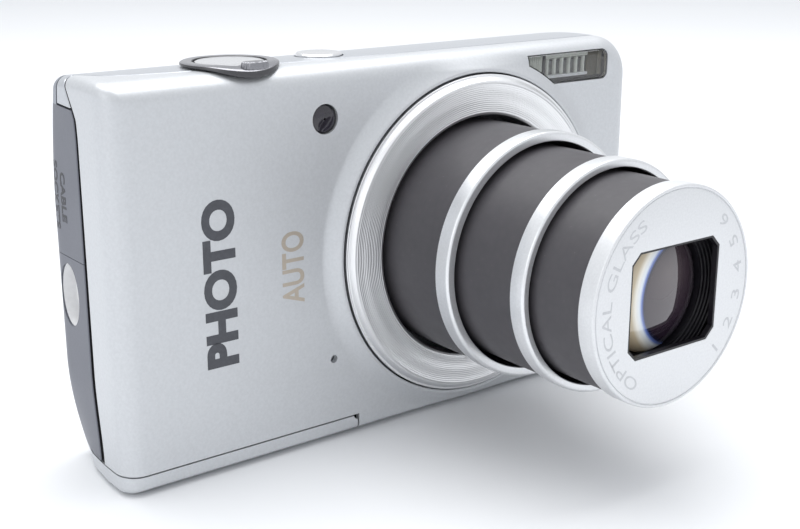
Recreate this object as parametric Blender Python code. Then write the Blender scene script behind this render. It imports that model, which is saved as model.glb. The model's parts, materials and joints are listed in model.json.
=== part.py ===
"""Compact digital camera with a three-stage zoom lens, shown switched on with the lens run out.

Frame: origin on the flat bottom under the middle of the body, +Z up, +X towards the lens side,
the lens points along -Y. Every number is in millimetres until it reaches a mesh.
"""

import bmesh
import bpy
from math import atan2, cos, pi, radians, sin
from mathutils import Vector

MM = 0.001

# ---------------------------------------------------------------- body envelope
WIDTH, HEIGHT, DEPTH = 95.3, 56.5, 19.5
WALL = 0.9
CORNER_RADII = (6.0, 1.6, 1.2, 4.2)  # flash side top, grip side top, grip side bottom, flash side bottom
LEAST_CORNER_R, CORNER_EASE = 0.8, 1.2  # a corner tightens by this much where the front and rear faces begin
INSET_REAR = 2.0
GRIP_LOW_BOW, GRIP_LOW_Z = 3.2, 16.0  # how far the grip side draws in at its rear, below and above
GRIP_TOP_BOW, GRIP_TOP_Z = 1.3, 36.0
GRIP_BOW_Y, GRIP_BOW_RUN = -1.0, 9.5
GRIP_STEPS = (49.0, 43.0, 36.0, 16.0, 10.5, 6.0)
CORNER_POINTS = 7
FRONT_ROUND, REAR_ROUND = 3.4, 3.0
INSET_SIDE, INSET_TOP, INSET_BOTTOM = 3.0, 2.4, 1.2
CROWN_Y, CROWN_RATE = -3.0, 0.008
FRONT_Y, REAR_Y = -DEPTH / 2, DEPTH / 2
GAP = 0.3

# parting planes of the skin
SIDE_PART_Y = -0.8
TOP_PART_Z = 52.2
TOP_FRONT_Y, TOP_REAR_Y = -5.65, 5.65
SIDE_PART_X = 44.6
DOOR_END_X, DOOR_TOP_Z, DOOR_REAR_Y = -9.15, 2.8, 6.9
TERMINAL_Z = 31.3

# ---------------------------------------------------------------- lens
LENS_X, LENS_Z = 13.1, 27.8
BEAD_FOOT_R, BEAD_TOP_R, BEAD_RISE = 28.4, 25.7, 1.1
RING_OUT_R, RING_HOLE_R, RING_FRONT_Y, RING_BACK_Y = 25.1, 19.0, -12.0, -8.7
BARREL_OUT_R, BARREL_IN_R, BARREL_BACK_Y = 22.8, 20.9, 4.9
CAM_OUT_R, CAM_IN_R = 20.6, 19.2
# each stage: tube outer radius, bore radius, rear end, rim outer radius, rim front, rim back
STAGE_1 = (18.1, 17.1, -8.3, 18.5, -25.95, -23.3)
STAGE_2 = (16.3, 15.6, -22.5, 16.75, -39.5, -36.9)
STAGE_3 = (14.95, 14.2, -35.5, 15.35, -51.0, -48.2)
SPIGOT_R = (17.75, 16.05)
CAP_PLATE = 0.8
WINDOW_W, WINDOW_H, WINDOW_CUT = 17.2, 14.8, 1.5
BLADE_THICK, BLADE_EDGE_Z, BLADE_R = 0.35, 7.6, 13.9

# ---------------------------------------------------------------- front and top fittings
FLASH = ((24.2, 54.6), (41.8, 54.6), (41.8, 49.9), (29.2, 49.9), (24.2, 53.5))
AF_X, AF_Z, AF_R = -14.4, 48.8, 2.0
MIC_X, MIC_Z, MIC_R = -13.5, 12.8, 0.6
SHUTTER_X, SHUTTER_Y, SHUTTER_R = -25.5, -2.9, 4.8
LEVER_R, LEVER_Z, LEVER_TOP_Z = 6.8, 56.65, 57.2
LEVER_LIP_Z = 55.7
POWER_X, POWER_Y, POWER_R = -9.3, -0.7, 3.4

# ---------------------------------------------------------------- rear fittings
SCREEN = (-17.0, 44.0, 5.5, 50.5)
DIAL_X, DIAL_Z, DIAL_R, DIAL_HOLE_R = -31.0, 25.5, 8.2, 4.3
KEYS = {
    "movie_button": (-31.0, 43.0, 2.7),
    "playback_button": (-38.3, 36.8, 2.4),
    "help_button": (-23.7, 36.8, 2.4),
    "menu_button": (-31.0, 11.5, 2.6),
}
KEY_BACK_Y, KEY_PROUD = 7.9, 0.35

# ---------------------------------------------------------------- grip side
STRAP_Y, STRAP_Z, STRAP_W, STRAP_H = 4.8, 25.7, 5.9, 9.1

ROUND = 48


# ---------------------------------------------------------------- helpers
def clear_scene():
    for obj in list(bpy.data.objects):
        bpy.data.objects.remove(obj, do_unlink=True)


def material(name, colour, metallic, roughness, alpha=1.0):
    made = bpy.data.materials.new(name)
    made.use_nodes = True
    shader = made.node_tree.nodes["Principled BSDF"]
    shader.inputs["Base Color"].default_value = (*colour, 1.0)
    shader.inputs["Metallic"].default_value = metallic
    shader.inputs["Roughness"].default_value = roughness
    shader.inputs["Alpha"].default_value = alpha
    return made


LOOKS = {
    "satin": ((0.75, 0.76, 0.78), 1.0, 0.38),
    "grey": ((0.32, 0.34, 0.38), 0.8, 0.42),
    "bright": ((0.86, 0.86, 0.87), 1.0, 0.2),
    "nickel": ((0.34, 0.34, 0.36), 1.0, 0.3),
    "black": ((0.03, 0.03, 0.035), 0.0, 0.5),
    "tube": ((0.09, 0.085, 0.095), 0.2, 0.45),
    "glass": ((0.8, 0.85, 0.9), 0.0, 0.05, 0.35),
    "steel": ((0.55, 0.56, 0.58), 1.0, 0.35),
    "board": ((0.05, 0.16, 0.09), 0.0, 0.5),
    "cell": ((0.12, 0.12, 0.13), 0.0, 0.6),
    "label": ((0.16, 0.17, 0.2), 0.0, 0.4),
}


def add(name, mesh, look, at=(0.0, 0.0, 0.0), smooth=True):
    """A node whose mesh is given in millimetres in the frame, with its origin moved to `at`."""
    bmesh.ops.recalc_face_normals(mesh, faces=mesh.faces)
    for vert in mesh.verts:
        vert.co = (vert.co - Vector(at)) * MM
    data = bpy.data.meshes.new(name)
    mesh.to_mesh(data)
    mesh.free()
    if smooth:
        data.shade_smooth()
        data.set_sharp_from_angle(angle=radians(32))
    obj = bpy.data.objects.new(name, data)
    obj.location = Vector(at) * MM
    bpy.context.scene.collection.objects.link(obj)
    data.materials.append(material(name + "_look", *LOOKS[look]))
    return obj


def helper(name, mesh):
    """A cutter: never rendered."""
    obj = add(name, mesh, "steel", smooth=False)
    obj.hide_render = True
    obj.display_type = "WIRE"
    return obj


def combine(obj, mesh, operation):
    """Adds a Boolean of `obj` with a mesh; the helper object is kept as its operand."""
    other = helper(f"cut_{obj.name}_{len(obj.modifiers)}", mesh)
    modifier = obj.modifiers.new(other.name, "BOOLEAN")
    modifier.operation = operation
    modifier.solver = "EXACT"
    modifier.object = other


def cut(obj, *meshes):
    for mesh in meshes:
        combine(obj, mesh, "DIFFERENCE")


def keep(obj, mesh):
    combine(obj, mesh, "INTERSECT")


def join(obj, mesh):
    combine(obj, mesh, "UNION")


def soften(obj, width, segments=1):
    modifier = obj.modifiers.new("edges", "BEVEL")
    modifier.width = width * MM
    modifier.segments = segments
    modifier.limit_method = "ANGLE"
    modifier.angle_limit = radians(40)


# ---------------------------------------------------------------- shapes
def loft(rings, closed=False):
    """Quads between rings of points; the ends are capped unless the rings close on themselves."""
    mesh = bmesh.new()
    loops = [[mesh.verts.new(point) for point in ring] for ring in rings]
    pairs = list(zip(loops, loops[1:]))
    if closed:
        pairs.append((loops[-1], loops[0]))
    for one, two in pairs:
        for i in range(len(one)):
            j = (i + 1) % len(one)
            mesh.faces.new((one[i], one[j], two[j], two[i]))
    if not closed:
        mesh.faces.new(loops[0])
        mesh.faces.new(loops[-1])
    return mesh


def circle(x, z, r, y, n=ROUND, turn=0.0):
    step = 2 * pi / n
    return [(x + r * cos(i * step + turn), y, z + r * sin(i * step + turn)) for i in range(n)]


def lathe(x, z, profile, n=ROUND):
    """A ring turned about a line along Y; the profile is a closed loop of (radius, y)."""
    return loft([circle(x, z, r, y, n) for r, y in profile], closed=True)


def disc(x, z, r, y0, y1, chamfer=0.0, n=ROUND):
    """A solid cylinder along Y from y0 to y1 with the y1 end chamfered."""
    rings = [circle(x, z, r, y0, n)]
    if chamfer:
        rings.append(circle(x, z, r, y1 - chamfer * (1 if y1 > y0 else -1), n))
    rings.append(circle(x, z, r - chamfer, y1, n))
    return loft(rings)


def lens_shape(x, z, r, y_front, y_back, bulge_front, bulge_back, n=32):
    """A glass element: a short cylinder with two shallow domes."""
    rings = [circle(x, z, r * f, y_front - bulge_front * (1 - f * f), n) for f in (0.3, 0.65, 1.0)]
    rings += [circle(x, z, r * f, y_back + bulge_back * (1 - f * f), n) for f in (1.0, 0.65, 0.3)]
    return loft(rings)


def block(x, y, z):
    """A box from three (low, high) pairs."""
    (x0, x1), (y0, y1), (z0, z1) = x, y, z
    return prism([(x0, z0), (x1, z0), (x1, z1), (x0, z1)], y0, y1)


def prism(outline, y0, y1):
    """An outline of (x, z) points extruded along Y."""
    return loft([[(x, y, z) for x, z in outline] for y in (y0, y1)])


def upright(outline, z0, z1):
    """An outline of (x, y) points extruded along Z."""
    return loft([[(x, y, z) for x, y in outline] for z in (z0, z1)])


def sideways(outline, x0, x1):
    """An outline of (y, z) points extruded along X."""
    return loft([[(x, y, z) for y, z in outline] for x in (x0, x1)])


def rounded(x0, x1, z0, z1, r, n=CORNER_POINTS - 1):
    """A rounded rectangle as (x, z) points, with one radius or four (top right first, then round to the left)."""
    radii = r if isinstance(r, (list, tuple)) else [r] * 4
    points = []
    for k, (x, z) in enumerate(((x1, z1), (x0, z1), (x0, z0), (x1, z0))):
        cx = x - radii[k] if x == x1 else x + radii[k]
        cz = z - radii[k] if z == z1 else z + radii[k]
        for i in range(n + 1):
            turn = radians(90 * k + 90 * i / n)
            points.append((cx + radii[k] * cos(turn), cz + radii[k] * sin(turn)))
    return points


def oval(cx, cz, wide, tall, n=32):
    return [(cx + wide / 2 * cos(2 * pi * i / n), cz + tall / 2 * sin(2 * pi * i / n)) for i in range(n)]


def stadium(cx, cy, long, wide, n=8):
    """A slot outline with round ends, long along its first axis."""
    r, reach = wide / 2, (long - wide) / 2
    turns = [(reach, -90 + 180 * i / n) for i in range(n + 1)]
    turns += [(-reach, 90 + 180 * i / n) for i in range(n + 1)]
    return [(cx + side + r * cos(radians(a)), cy + r * sin(radians(a))) for side, a in turns]


def grip_bow(y, z):
    """How far the grip side draws in towards its rear corners."""
    back = min(max((y - GRIP_BOW_Y) / GRIP_BOW_RUN, 0.0), 1.0) ** 1.5
    low = max((GRIP_LOW_Z - z) / GRIP_LOW_Z, 0.0) ** 2
    high = max((z - GRIP_TOP_Z) / (HEIGHT - GRIP_TOP_Z), 0.0) ** 2
    return back * (GRIP_LOW_BOW * low + GRIP_TOP_BOW * high)


def envelope(shrink=0.0, steps=5):
    """The outside of the body, or its inside when shrunk by the wall."""
    rings = []
    turns = [90 * i / steps for i in range(steps, -1, -1)]
    stations = [(FRONT_Y + shrink, FRONT_ROUND, t) for t in turns]
    stations += [(y, 0.0, 0.0) for y in (-2.0, 2.5)]
    stations += [(REAR_Y - shrink, -REAR_ROUND, t) for t in reversed(turns)]
    for end, depth, t in stations:
        lean, y = 1 - cos(radians(t)), end + depth * (1 - sin(radians(t)))
        crown = CROWN_RATE * (y - CROWN_Y) ** 2
        side = shrink + (INSET_SIDE if y < 0 else INSET_REAR) * lean
        corner = [max(radius - shrink - CORNER_EASE * lean, LEAST_CORNER_R) for radius in CORNER_RADII]
        outline = rounded(
            -WIDTH / 2 + side,
            WIDTH / 2 - side,
            shrink + INSET_BOTTOM * lean,
            HEIGHT - shrink - crown - INSET_TOP * lean,
            corner,
        )
        outline[2 * CORNER_POINTS : 2 * CORNER_POINTS] = [(outline[2 * CORNER_POINTS][0], z) for z in GRIP_STEPS]
        rings.append([(x + (grip_bow(y, z) if x < 0 else 0.0), y, z) for x, z in outline])
    shape = loft(rings)
    bmesh.ops.triangulate(shape, faces=[face for face in shape.faces if len(face.verts) == 4])
    return shape


FAR = 80.0


def cover(name, look, at=(0.0, 0.0, 0.0)):
    """The whole skin as a hollow shell, ready to be trimmed to one cover."""
    obj = add(name, envelope(), look, at)
    cut(obj, envelope(WALL))
    return obj


def button_well():
    """The round hole that the shutter button sinks into."""
    wide = 2 * SHUTTER_R + 0.6
    return upright(oval(SHUTTER_X, SHUTTER_Y, wide, wide), 50, 60)


# ---------------------------------------------------------------- body skin
def make_front_cover():
    obj = cover("front_cover", "satin")
    bead = [
        (BEAD_FOOT_R, FRONT_Y + 0.35),
        (BEAD_FOOT_R - 0.9, FRONT_Y - 0.25),
        (BEAD_TOP_R + 0.5, FRONT_Y - BEAD_RISE),
        (BEAD_TOP_R - 0.2, FRONT_Y - BEAD_RISE),
        (BEAD_TOP_R - 0.2, FRONT_Y + 0.35),
    ]
    join(obj, lathe(LENS_X, LENS_Z, bead))
    keep(obj.modifiers[-1].object, block((-FAR, FAR), (-FAR, FAR), (1.4, HEIGHT - 1.4)))
    half = GAP / 2
    side_y, top_y, top_z = SIDE_PART_Y - half, TOP_FRONT_Y - half, TOP_PART_Z - half
    behind = [(side_y, -FAR), (FAR, -FAR), (FAR, FAR), (top_y, FAR), (top_y, top_z), (side_y, top_z)]
    cut(
        obj,
        disc(LENS_X, LENS_Z, RING_OUT_R + 0.25, -20, 0),
        disc(AF_X, AF_Z, AF_R + 0.2, -20, -6, n=24),
        disc(MIC_X, MIC_Z, MIC_R, -20, -6, n=12),
        prism(FLASH, -20, -5.9),
        button_well(),
        block((-FAR, DOOR_END_X + half), (-FAR, FAR), (-FAR, DOOR_TOP_Z + half)),
        sideways(behind, -FAR, FAR),
    )


def make_top_cover():
    obj = cover("top_cover", "grey")
    half = GAP / 2
    keep(obj, block((-FAR, FAR), (TOP_FRONT_Y + half, TOP_REAR_Y - half), (TOP_PART_Z + half, FAR)))
    cut(
        obj,
        button_well(),
        upright(oval(POWER_X, POWER_Y, 2 * POWER_R + 0.5, 2 * POWER_R + 0.5), 50, 60),
    )


def make_rear_cover():
    obj = cover("rear_cover", "grey")
    half = GAP / 2
    x0, x1, z0, z1 = SCREEN
    cut(
        obj,
        block((-FAR, FAR), (-FAR, SIDE_PART_Y + half), (-FAR, FAR)),
        block((-FAR, FAR), (-FAR, TOP_REAR_Y + half), (TOP_PART_Z - half, FAR)),
        block((-FAR, DOOR_END_X + half), (-FAR, DOOR_REAR_Y + half), (-FAR, DOOR_TOP_Z + half)),
        block((-FAR, -SIDE_PART_X + half), (-FAR, FAR), (DOOR_TOP_Z + half, TOP_PART_Z - half)),
        prism(rounded(x0 - 0.3, x1 + 0.3, z0 - 0.3, z1 + 0.3, 1.3, 3), 5, 15),
        disc(DIAL_X, DIAL_Z, DIAL_R + 0.35, 5, 15, n=48),
        *[disc(x, z, r + 0.3, 5, 15, n=24) for x, z, r in KEYS.values()],
        upright(oval(TRIPOD_X, TRIPOD_Y, 9.0, 9.0, 32), -5, 5),
        *[upright(oval(x, y, 2.9, 2.9, 16), -5, 5) for x, y in SCREWS.values()],
    )


def make_side_covers():
    half = GAP / 2
    lower = cover("side_cover", "grey")
    keep(lower, block((-FAR, -SIDE_PART_X - half), (SIDE_PART_Y + half, FAR), (DOOR_TOP_Z + 2 * half, TERMINAL_Z - half)))
    cut(lower, sideways(oval(STRAP_Y, STRAP_Z, STRAP_W, STRAP_H), -55, -40))
    hinge = (-WIDTH / 2, STRAP_Y, TERMINAL_Z)
    upper = cover("terminal_cover", "grey", hinge)
    keep(upper, block((-FAR, -SIDE_PART_X - half), (SIDE_PART_Y + half, FAR), (TERMINAL_Z + half, TOP_PART_Z - half)))
    well = add("strap_well", block((-45.7, -43.2), (1.3, 8.0), (20.6, 30.8)), "bright")
    cut(well, sideways(oval(STRAP_Y, STRAP_Z, STRAP_W, STRAP_H), -55, -43.9))
    bar = oval(-45.5, STRAP_Y - 1.3, 1.6, 1.6, 16)
    add("strap_bar", upright(bar, STRAP_Z - 3.2, STRAP_Z + 3.2), "steel")


def make_battery_door():
    hinge = (-WIDTH / 4, DOOR_REAR_Y, 0.0)
    obj = cover("battery_door", "satin", hinge)
    half = GAP / 2
    keep(obj, block((-FAR, DOOR_END_X - half), (-FAR, DOOR_REAR_Y - half), (-FAR, DOOR_TOP_Z - half)))


# ---------------------------------------------------------------- lens
def make_lens_mount():
    groove = 0.35
    ring = [
        (RING_HOLE_R, RING_BACK_Y),
        (RING_HOLE_R, RING_FRONT_Y + 0.5),
        (RING_HOLE_R + 0.5, RING_FRONT_Y),
        (RING_OUT_R - 1.3, RING_FRONT_Y),
        (RING_OUT_R - groove, RING_FRONT_Y + 0.8),
        (RING_OUT_R, RING_FRONT_Y + 0.8),
        (RING_OUT_R, RING_BACK_Y),
    ]
    add("lens_ring", lathe(LENS_X, LENS_Z, ring), "satin")
    front = RING_BACK_Y + GAP
    barrel = [
        (BARREL_IN_R, front),
        (BARREL_OUT_R, front),
        (BARREL_OUT_R, BARREL_BACK_Y),
        (RING_HOLE_R - 0.8, BARREL_BACK_Y),
        (RING_HOLE_R - 0.8, BARREL_BACK_Y - 0.4),
        (BARREL_IN_R, BARREL_BACK_Y - 0.4),
    ]
    add("fixed_barrel", lathe(LENS_X, LENS_Z, barrel), "black")
    tube = [(CAM_IN_R, front + 0.2), (CAM_OUT_R, front + 0.2), (CAM_OUT_R, 4.2), (CAM_IN_R, 4.2)]
    add("cam_ring", lathe(LENS_X, LENS_Z, tube), "steel", (LENS_X, 0.0, LENS_Z))


def make_stage(number, sizes, spigot):
    """A dark tube with a bright rim carried on a spigot at its front."""
    tube_r, bore_r, rear, rim_r, front, rim_back = sizes
    at = (LENS_X, rear, LENS_Z)
    body = [
        (bore_r, rear),
        (tube_r, rear),
        (tube_r, rim_back + 0.15),
        (spigot, rim_back + 0.15),
        (spigot, front + 0.75),
        (bore_r, front + 0.75),
    ]
    add(f"tube_{number}", lathe(LENS_X, LENS_Z, body), "tube", at)
    rim = [
        (bore_r, front + 0.6),
        (bore_r, front),
        (rim_r - 0.3, front),
        (rim_r, front + 0.3),
        (rim_r, rim_back),
        (spigot + 0.1, rim_back),
        (spigot + 0.1, front + 0.6),
    ]
    add(f"rim_{number}", lathe(LENS_X, LENS_Z, rim), "bright", at)


def window_outline(grow=0.0):
    w, h, c = WINDOW_W / 2 + grow, WINDOW_H / 2 + grow, WINDOW_CUT + 0.4 * grow
    corners = ((w, h - c), (w - c, h), (c - w, h), (-w, h - c), (-w, c - h), (c - w, -h), (w - c, -h), (w, c - h))
    return [(LENS_X + x, LENS_Z + z) for x, z in corners]


def make_cap():
    tube_r, bore_r, rear, rim_r, front, rim_back = STAGE_3
    at = (LENS_X, rear, LENS_Z)
    spigot = 14.65
    body = [
        (bore_r, rear),
        (tube_r, rear),
        (tube_r, rim_back + 0.15),
        (spigot, rim_back + 0.15),
        (spigot, front + CAP_PLATE + 0.15),
        (bore_r, front + CAP_PLATE + 0.15),
    ]
    add("tube_3", lathe(LENS_X, LENS_Z, body), "tube", at)
    plate = [
        (1.0, front),
        (rim_r - 0.35, front),
        (rim_r, front + 0.35),
        (rim_r, rim_back),
        (spigot + 0.1, rim_back),
        (spigot + 0.1, front + CAP_PLATE),
        (1.0, front + CAP_PLATE),
    ]
    cap = add("front_cap", lathe(LENS_X, LENS_Z, plate), "satin", at)
    cut(cap, prism(window_outline(), front - 2, front + 2))


def make_barrier():
    """Four shutter blades in two layers, tucked above and below the window."""
    edge = (BLADE_R**2 - BLADE_EDGE_Z**2) ** 0.5
    start = atan2(BLADE_EDGE_Z, edge)
    n = 12
    for side, name in ((1, "upper"), (-1, "lower")):
        for layer, y in (("outer", STAGE_3[4] + 1.0), ("inner", STAGE_3[4] + 1.55)):
            arc = [start + (pi - 2 * start) * i / n for i in range(n + 1)]
            outline = [(LENS_X + BLADE_R * cos(a), LENS_Z + side * BLADE_R * sin(a)) for a in arc]
            add(
                f"blade_{name}_{layer}",
                prism(outline, y, y + BLADE_THICK),
                "black",
                (LENS_X, y, LENS_Z + side * BLADE_EDGE_Z),
                smooth=False,
            )


def make_optics():
    at = (LENS_X, STAGE_3[2], LENS_Z)
    cell = [(8.9, -48.8), (13.9, -48.8), (13.9, -45.0), (9.6, -43.8), (8.9, -43.8)]
    add("front_lens_cell", lathe(LENS_X, LENS_Z, cell), "black", at)
    add("front_lens", lens_shape(LENS_X, LENS_Z, 8.75, -47.3, -45.2, 1.2, 0.5), "glass", at)
    cell = [(7.2, -18.0), (13.2, -18.0), (13.2, -16.6), (9.0, -15.0), (7.2, -15.0)]
    at = (LENS_X, -15.0, LENS_Z)
    add("zoom_lens_cell", lathe(LENS_X, LENS_Z, cell, 48), "black", at)
    add("zoom_lens", lens_shape(LENS_X, LENS_Z, 7.05, -17.3, -15.8, 0.6, 0.3), "glass", at)
    cell = [(5.4, -4.2), (9.4, -4.2), (9.4, -2.4), (5.4, -2.4)]
    at = (LENS_X, -2.4, LENS_Z)
    add("focus_lens_cell", lathe(LENS_X, LENS_Z, cell, 40), "black", at)
    add("focus_lens", lens_shape(LENS_X, LENS_Z, 5.25, -3.9, -2.9, 0.25, 0.15, 32), "glass", at)
    back = BARREL_BACK_Y + 0.15
    add("sensor_plate", disc(LENS_X, LENS_Z, BARREL_OUT_R - 0.4, back, back + 0.5), "steel")
    s = 4.6
    add("image_sensor", block((LENS_X - s, LENS_X + s), (3.4, 4.9), (LENS_Z - s, LENS_Z + s)), "cell", smooth=False)


# ---------------------------------------------------------------- front fittings
def make_flash():
    window = add("flash_window", envelope(), "glass")
    cut(window, envelope(WALL))
    mid = (33.0, 52.1)
    shrunk = [(mid[0] + (x - mid[0]) * 0.975, mid[1] + (z - mid[1]) * 0.9) for x, z in FLASH]
    keep(window, prism(shrunk, -20, -6.2))
    shell = add("flash_reflector", block((30.2, 41.4), (-7.4, -4.3), (50.2, 53.3)), "bright", smooth=False)
    cut(shell, block((30.7, 40.9), (-12.0, -4.8), (50.7, 52.8)))
    tube = [(-6.0 + 0.7 * cos(2 * pi * i / 12), 51.9 + 0.7 * sin(2 * pi * i / 12)) for i in range(12)]
    add("flash_tube", sideways(tube, 31.0, 40.6), "glass")
    can = [(41.3 + 4.1 * cos(2 * pi * i / 28), -3.6 + 4.1 * sin(2 * pi * i / 28)) for i in range(28)]
    soften(add("flash_capacitor", upright(can, 21.0, 46.0), "black"), 0.4)


def make_front_details():
    add("af_window", disc(AF_X, AF_Z, AF_R, -7.9, FRONT_Y + 0.15, 0.2, n=32), "glass")
    add("microphone", disc(MIC_X, MIC_Z, 2.1, -7.8, -8.7, n=20), "steel")


# ---------------------------------------------------------------- top controls
def make_top_controls():
    button = [
        (SHUTTER_X + 2.9 * cos(2 * pi * i / 24), SHUTTER_Y + 2.9 * sin(2 * pi * i / 24)) for i in range(24)
    ]
    shutter = add("shutter_button", upright(button, 54.2, 56.6), "bright", (SHUTTER_X, SHUTTER_Y, 54.2))
    head = oval(SHUTTER_X, SHUTTER_Y, 2 * SHUTTER_R, 2 * SHUTTER_R, 40)
    join(shutter, upright(head, 56.5, LEVER_TOP_Z - 0.05))
    outline = oval(SHUTTER_X, SHUTTER_Y, 2 * LEVER_R, 2 * LEVER_R, 48)
    lever = add("zoom_lever", upright(outline, LEVER_Z, LEVER_TOP_Z), "nickel", (SHUTTER_X, SHUTTER_Y, LEVER_Z))
    soften(lever, 0.15)
    cut(lever, upright(oval(SHUTTER_X, SHUTTER_Y, 10.2, 10.2, 40), 50, 60))
    front = SHUTTER_Y - LEVER_R
    join(lever, upright(stadium(SHUTTER_X + 0.6, front + 0.9, 3.8, 1.7, 6), LEVER_Z + 0.1, LEVER_TOP_Z + 0.5))
    lip = [(-2.6, 0.6), (-2.0, 0.15), (0.0, -0.1), (2.0, 0.15), (2.6, 0.6), (0.0, 0.45)]
    join(lever, upright([(SHUTTER_X + x, front + y) for x, y in lip], LEVER_LIP_Z, LEVER_Z + 0.2))
    power = upright(oval(POWER_X, POWER_Y, 2 * POWER_R, 2 * POWER_R), 54.2, HEIGHT + 0.4)
    soften(add("power_button", power, "bright", (POWER_X, POWER_Y, 54.2)), 0.2)


# ---------------------------------------------------------------- rear controls
def make_rear_controls():
    x0, x1, z0, z1 = SCREEN
    soften(add("screen_window", prism(rounded(x0, x1, z0, z1, 1.0, 3), 8.95, REAR_Y), "glass"), 0.15)
    add("lcd_panel", block((x0 + 2, x1 - 2), (6.1, 8.7), (z0 + 1.2, z1 - 1.2)), "label", smooth=False)
    proud = REAR_Y + KEY_PROUD
    for name, (x, z, r) in KEYS.items():
        add(name, disc(x, z, r, KEY_BACK_Y, proud, 0.25, n=32), "grey", (x, KEY_BACK_Y, z))
    dial = [
        (DIAL_HOLE_R, KEY_BACK_Y),
        (DIAL_R, KEY_BACK_Y),
        (DIAL_R, proud + 0.0),
        (DIAL_R - 0.4, proud + 0.35),
        (DIAL_HOLE_R + 0.3, proud),
        (DIAL_HOLE_R, proud - 0.3),
    ]
    add("select_ring", lathe(DIAL_X, DIAL_Z, dial, 48), "bright", (DIAL_X, KEY_BACK_Y, DIAL_Z))
    add("set_button", disc(DIAL_X, DIAL_Z, DIAL_HOLE_R - 0.3, KEY_BACK_Y, proud, 0.25, n=32), "grey",
        (DIAL_X, KEY_BACK_Y, DIAL_Z))


# ---------------------------------------------------------------- inside
TRIPOD_X, TRIPOD_Y = 8.0, 3.6
SCREWS = {"bottom_screw_left": (-4.6, 3.0), "bottom_screw_right": (40.0, 3.0)}
BATTERY = ((-45.2, -10.6), (-6.9, -1.7), (5.0, 45.2))
CARD = ((-38.0, -14.0), (0.2, 2.3), (4.6, 36.6))


def grown(spans, x, y, z):
    """Box spans grown by the given (low, high) amounts."""
    return [(low - a, high + b) for (low, high), (a, b) in zip(spans, (x, y, z))]


def make_inside():
    box = add("battery_box", block(*grown(BATTERY, (0.6, 0.6), (0.6, 0.9), (1.0, 1.0))), "black", smooth=False)
    cut(box, block(*grown(BATTERY, (0.2, 0.2), (0.3, 0.3), (9.0, 0.3))))
    soften(add("battery", block(*BATTERY), "label"), 0.6, 2)
    slot = add("card_slot", block(*grown(CARD, (0.7, 0.7), (0.6, 0.6), (-2.0, 1.0))), "steel", smooth=False)
    cut(slot, block(*grown(CARD, (0.2, 0.2), (0.2, 0.2), (9.0, 0.3))))
    card = ((CARD[0][0], CARD[2][0]), (CARD[0][1], CARD[2][0]), (CARD[0][1], CARD[2][1]))
    outline = [*card, (CARD[0][0] + 4.0, CARD[2][1]), (CARD[0][0], CARD[2][1] - 4.0)]
    add("memory_card", prism(outline, *CARD[1]), "label", smooth=False)
    add("main_board", block((-42.0, -11.0), (3.8, 4.6), (5.0, 50.0)), "board", smooth=False)
    add("key_board", block((-43.0, -19.0), (5.4, 6.2), (6.0, 50.0)), "board", smooth=False)
    can = [(41.3 + 3.3 * cos(2 * pi * i / 24), -3.4 + 3.3 * sin(2 * pi * i / 24)) for i in range(24)]
    soften(add("zoom_motor", upright(can, 4.0, 15.0), "steel"), 0.3)
    add("motor_gearbox", block((37.6, 45.2), (-7.2, 0.2), (15.3, 19.6)), "black", smooth=False)
    add("speaker", block((2.0, 12.0), (-4.0, 3.5), (51.6, 54.3)), "black", smooth=False)
    socket = upright(oval(TRIPOD_X, TRIPOD_Y, 8.4, 8.4, 32), 0.0, 3.6)
    nut = add("tripod_socket", socket, "bright")
    cut(nut, upright(oval(TRIPOD_X, TRIPOD_Y, 5.2, 5.2, 20), -2, 2.9))
    for name, (x, y) in SCREWS.items():
        head = upright(oval(x, y, 2.4, 2.4, 20), 0.25, 1.0)
        screw = add(name, head, "steel")
        join(screw, upright(oval(x, y, 1.3, 1.3, 12), 0.9, 4.0))
        cut(screw, block((x - 0.8, x + 0.8), (y - 0.15, y + 0.15), (-1, 0.6)),
            block((x - 0.15, x + 0.15), (y - 0.8, y + 0.8), (-1, 0.6)))


clear_scene()
make_front_cover()
make_top_cover()
make_rear_cover()
make_side_covers()
make_battery_door()
make_lens_mount()
make_stage(1, STAGE_1, SPIGOT_R[0])
make_stage(2, STAGE_2, SPIGOT_R[1])
make_cap()
make_barrier()
make_optics()
make_flash()
make_front_details()
make_top_controls()
make_rear_controls()
make_inside()
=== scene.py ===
"""Looks of the compact digital camera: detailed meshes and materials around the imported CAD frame.

Lengths are in millimetres in the row frame until a mesh is made. The skin follows the same
envelope as the CAD body: rounded outlines that lean in towards the front and rear faces.
"""

import json
from math import acos, atan2, cos, degrees, hypot, pi, radians, sin, sqrt

import bmesh
import bpy
import numpy as np
from mathutils import Matrix, Vector


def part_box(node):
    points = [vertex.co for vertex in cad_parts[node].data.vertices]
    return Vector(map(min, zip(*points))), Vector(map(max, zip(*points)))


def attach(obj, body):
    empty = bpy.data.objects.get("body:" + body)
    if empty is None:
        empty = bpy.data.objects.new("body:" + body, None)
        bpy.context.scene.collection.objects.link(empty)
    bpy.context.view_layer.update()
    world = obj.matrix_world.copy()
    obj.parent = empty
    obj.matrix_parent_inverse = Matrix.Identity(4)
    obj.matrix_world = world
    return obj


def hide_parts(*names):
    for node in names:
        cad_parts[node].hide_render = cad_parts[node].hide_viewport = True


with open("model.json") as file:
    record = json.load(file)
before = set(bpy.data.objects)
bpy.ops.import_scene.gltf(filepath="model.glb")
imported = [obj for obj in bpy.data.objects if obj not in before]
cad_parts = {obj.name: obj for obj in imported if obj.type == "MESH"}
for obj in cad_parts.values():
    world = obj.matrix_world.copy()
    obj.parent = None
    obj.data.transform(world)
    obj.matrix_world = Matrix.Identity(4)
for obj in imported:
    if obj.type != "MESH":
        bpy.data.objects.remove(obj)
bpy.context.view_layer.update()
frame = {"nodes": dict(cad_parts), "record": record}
MM = 0.001


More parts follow.
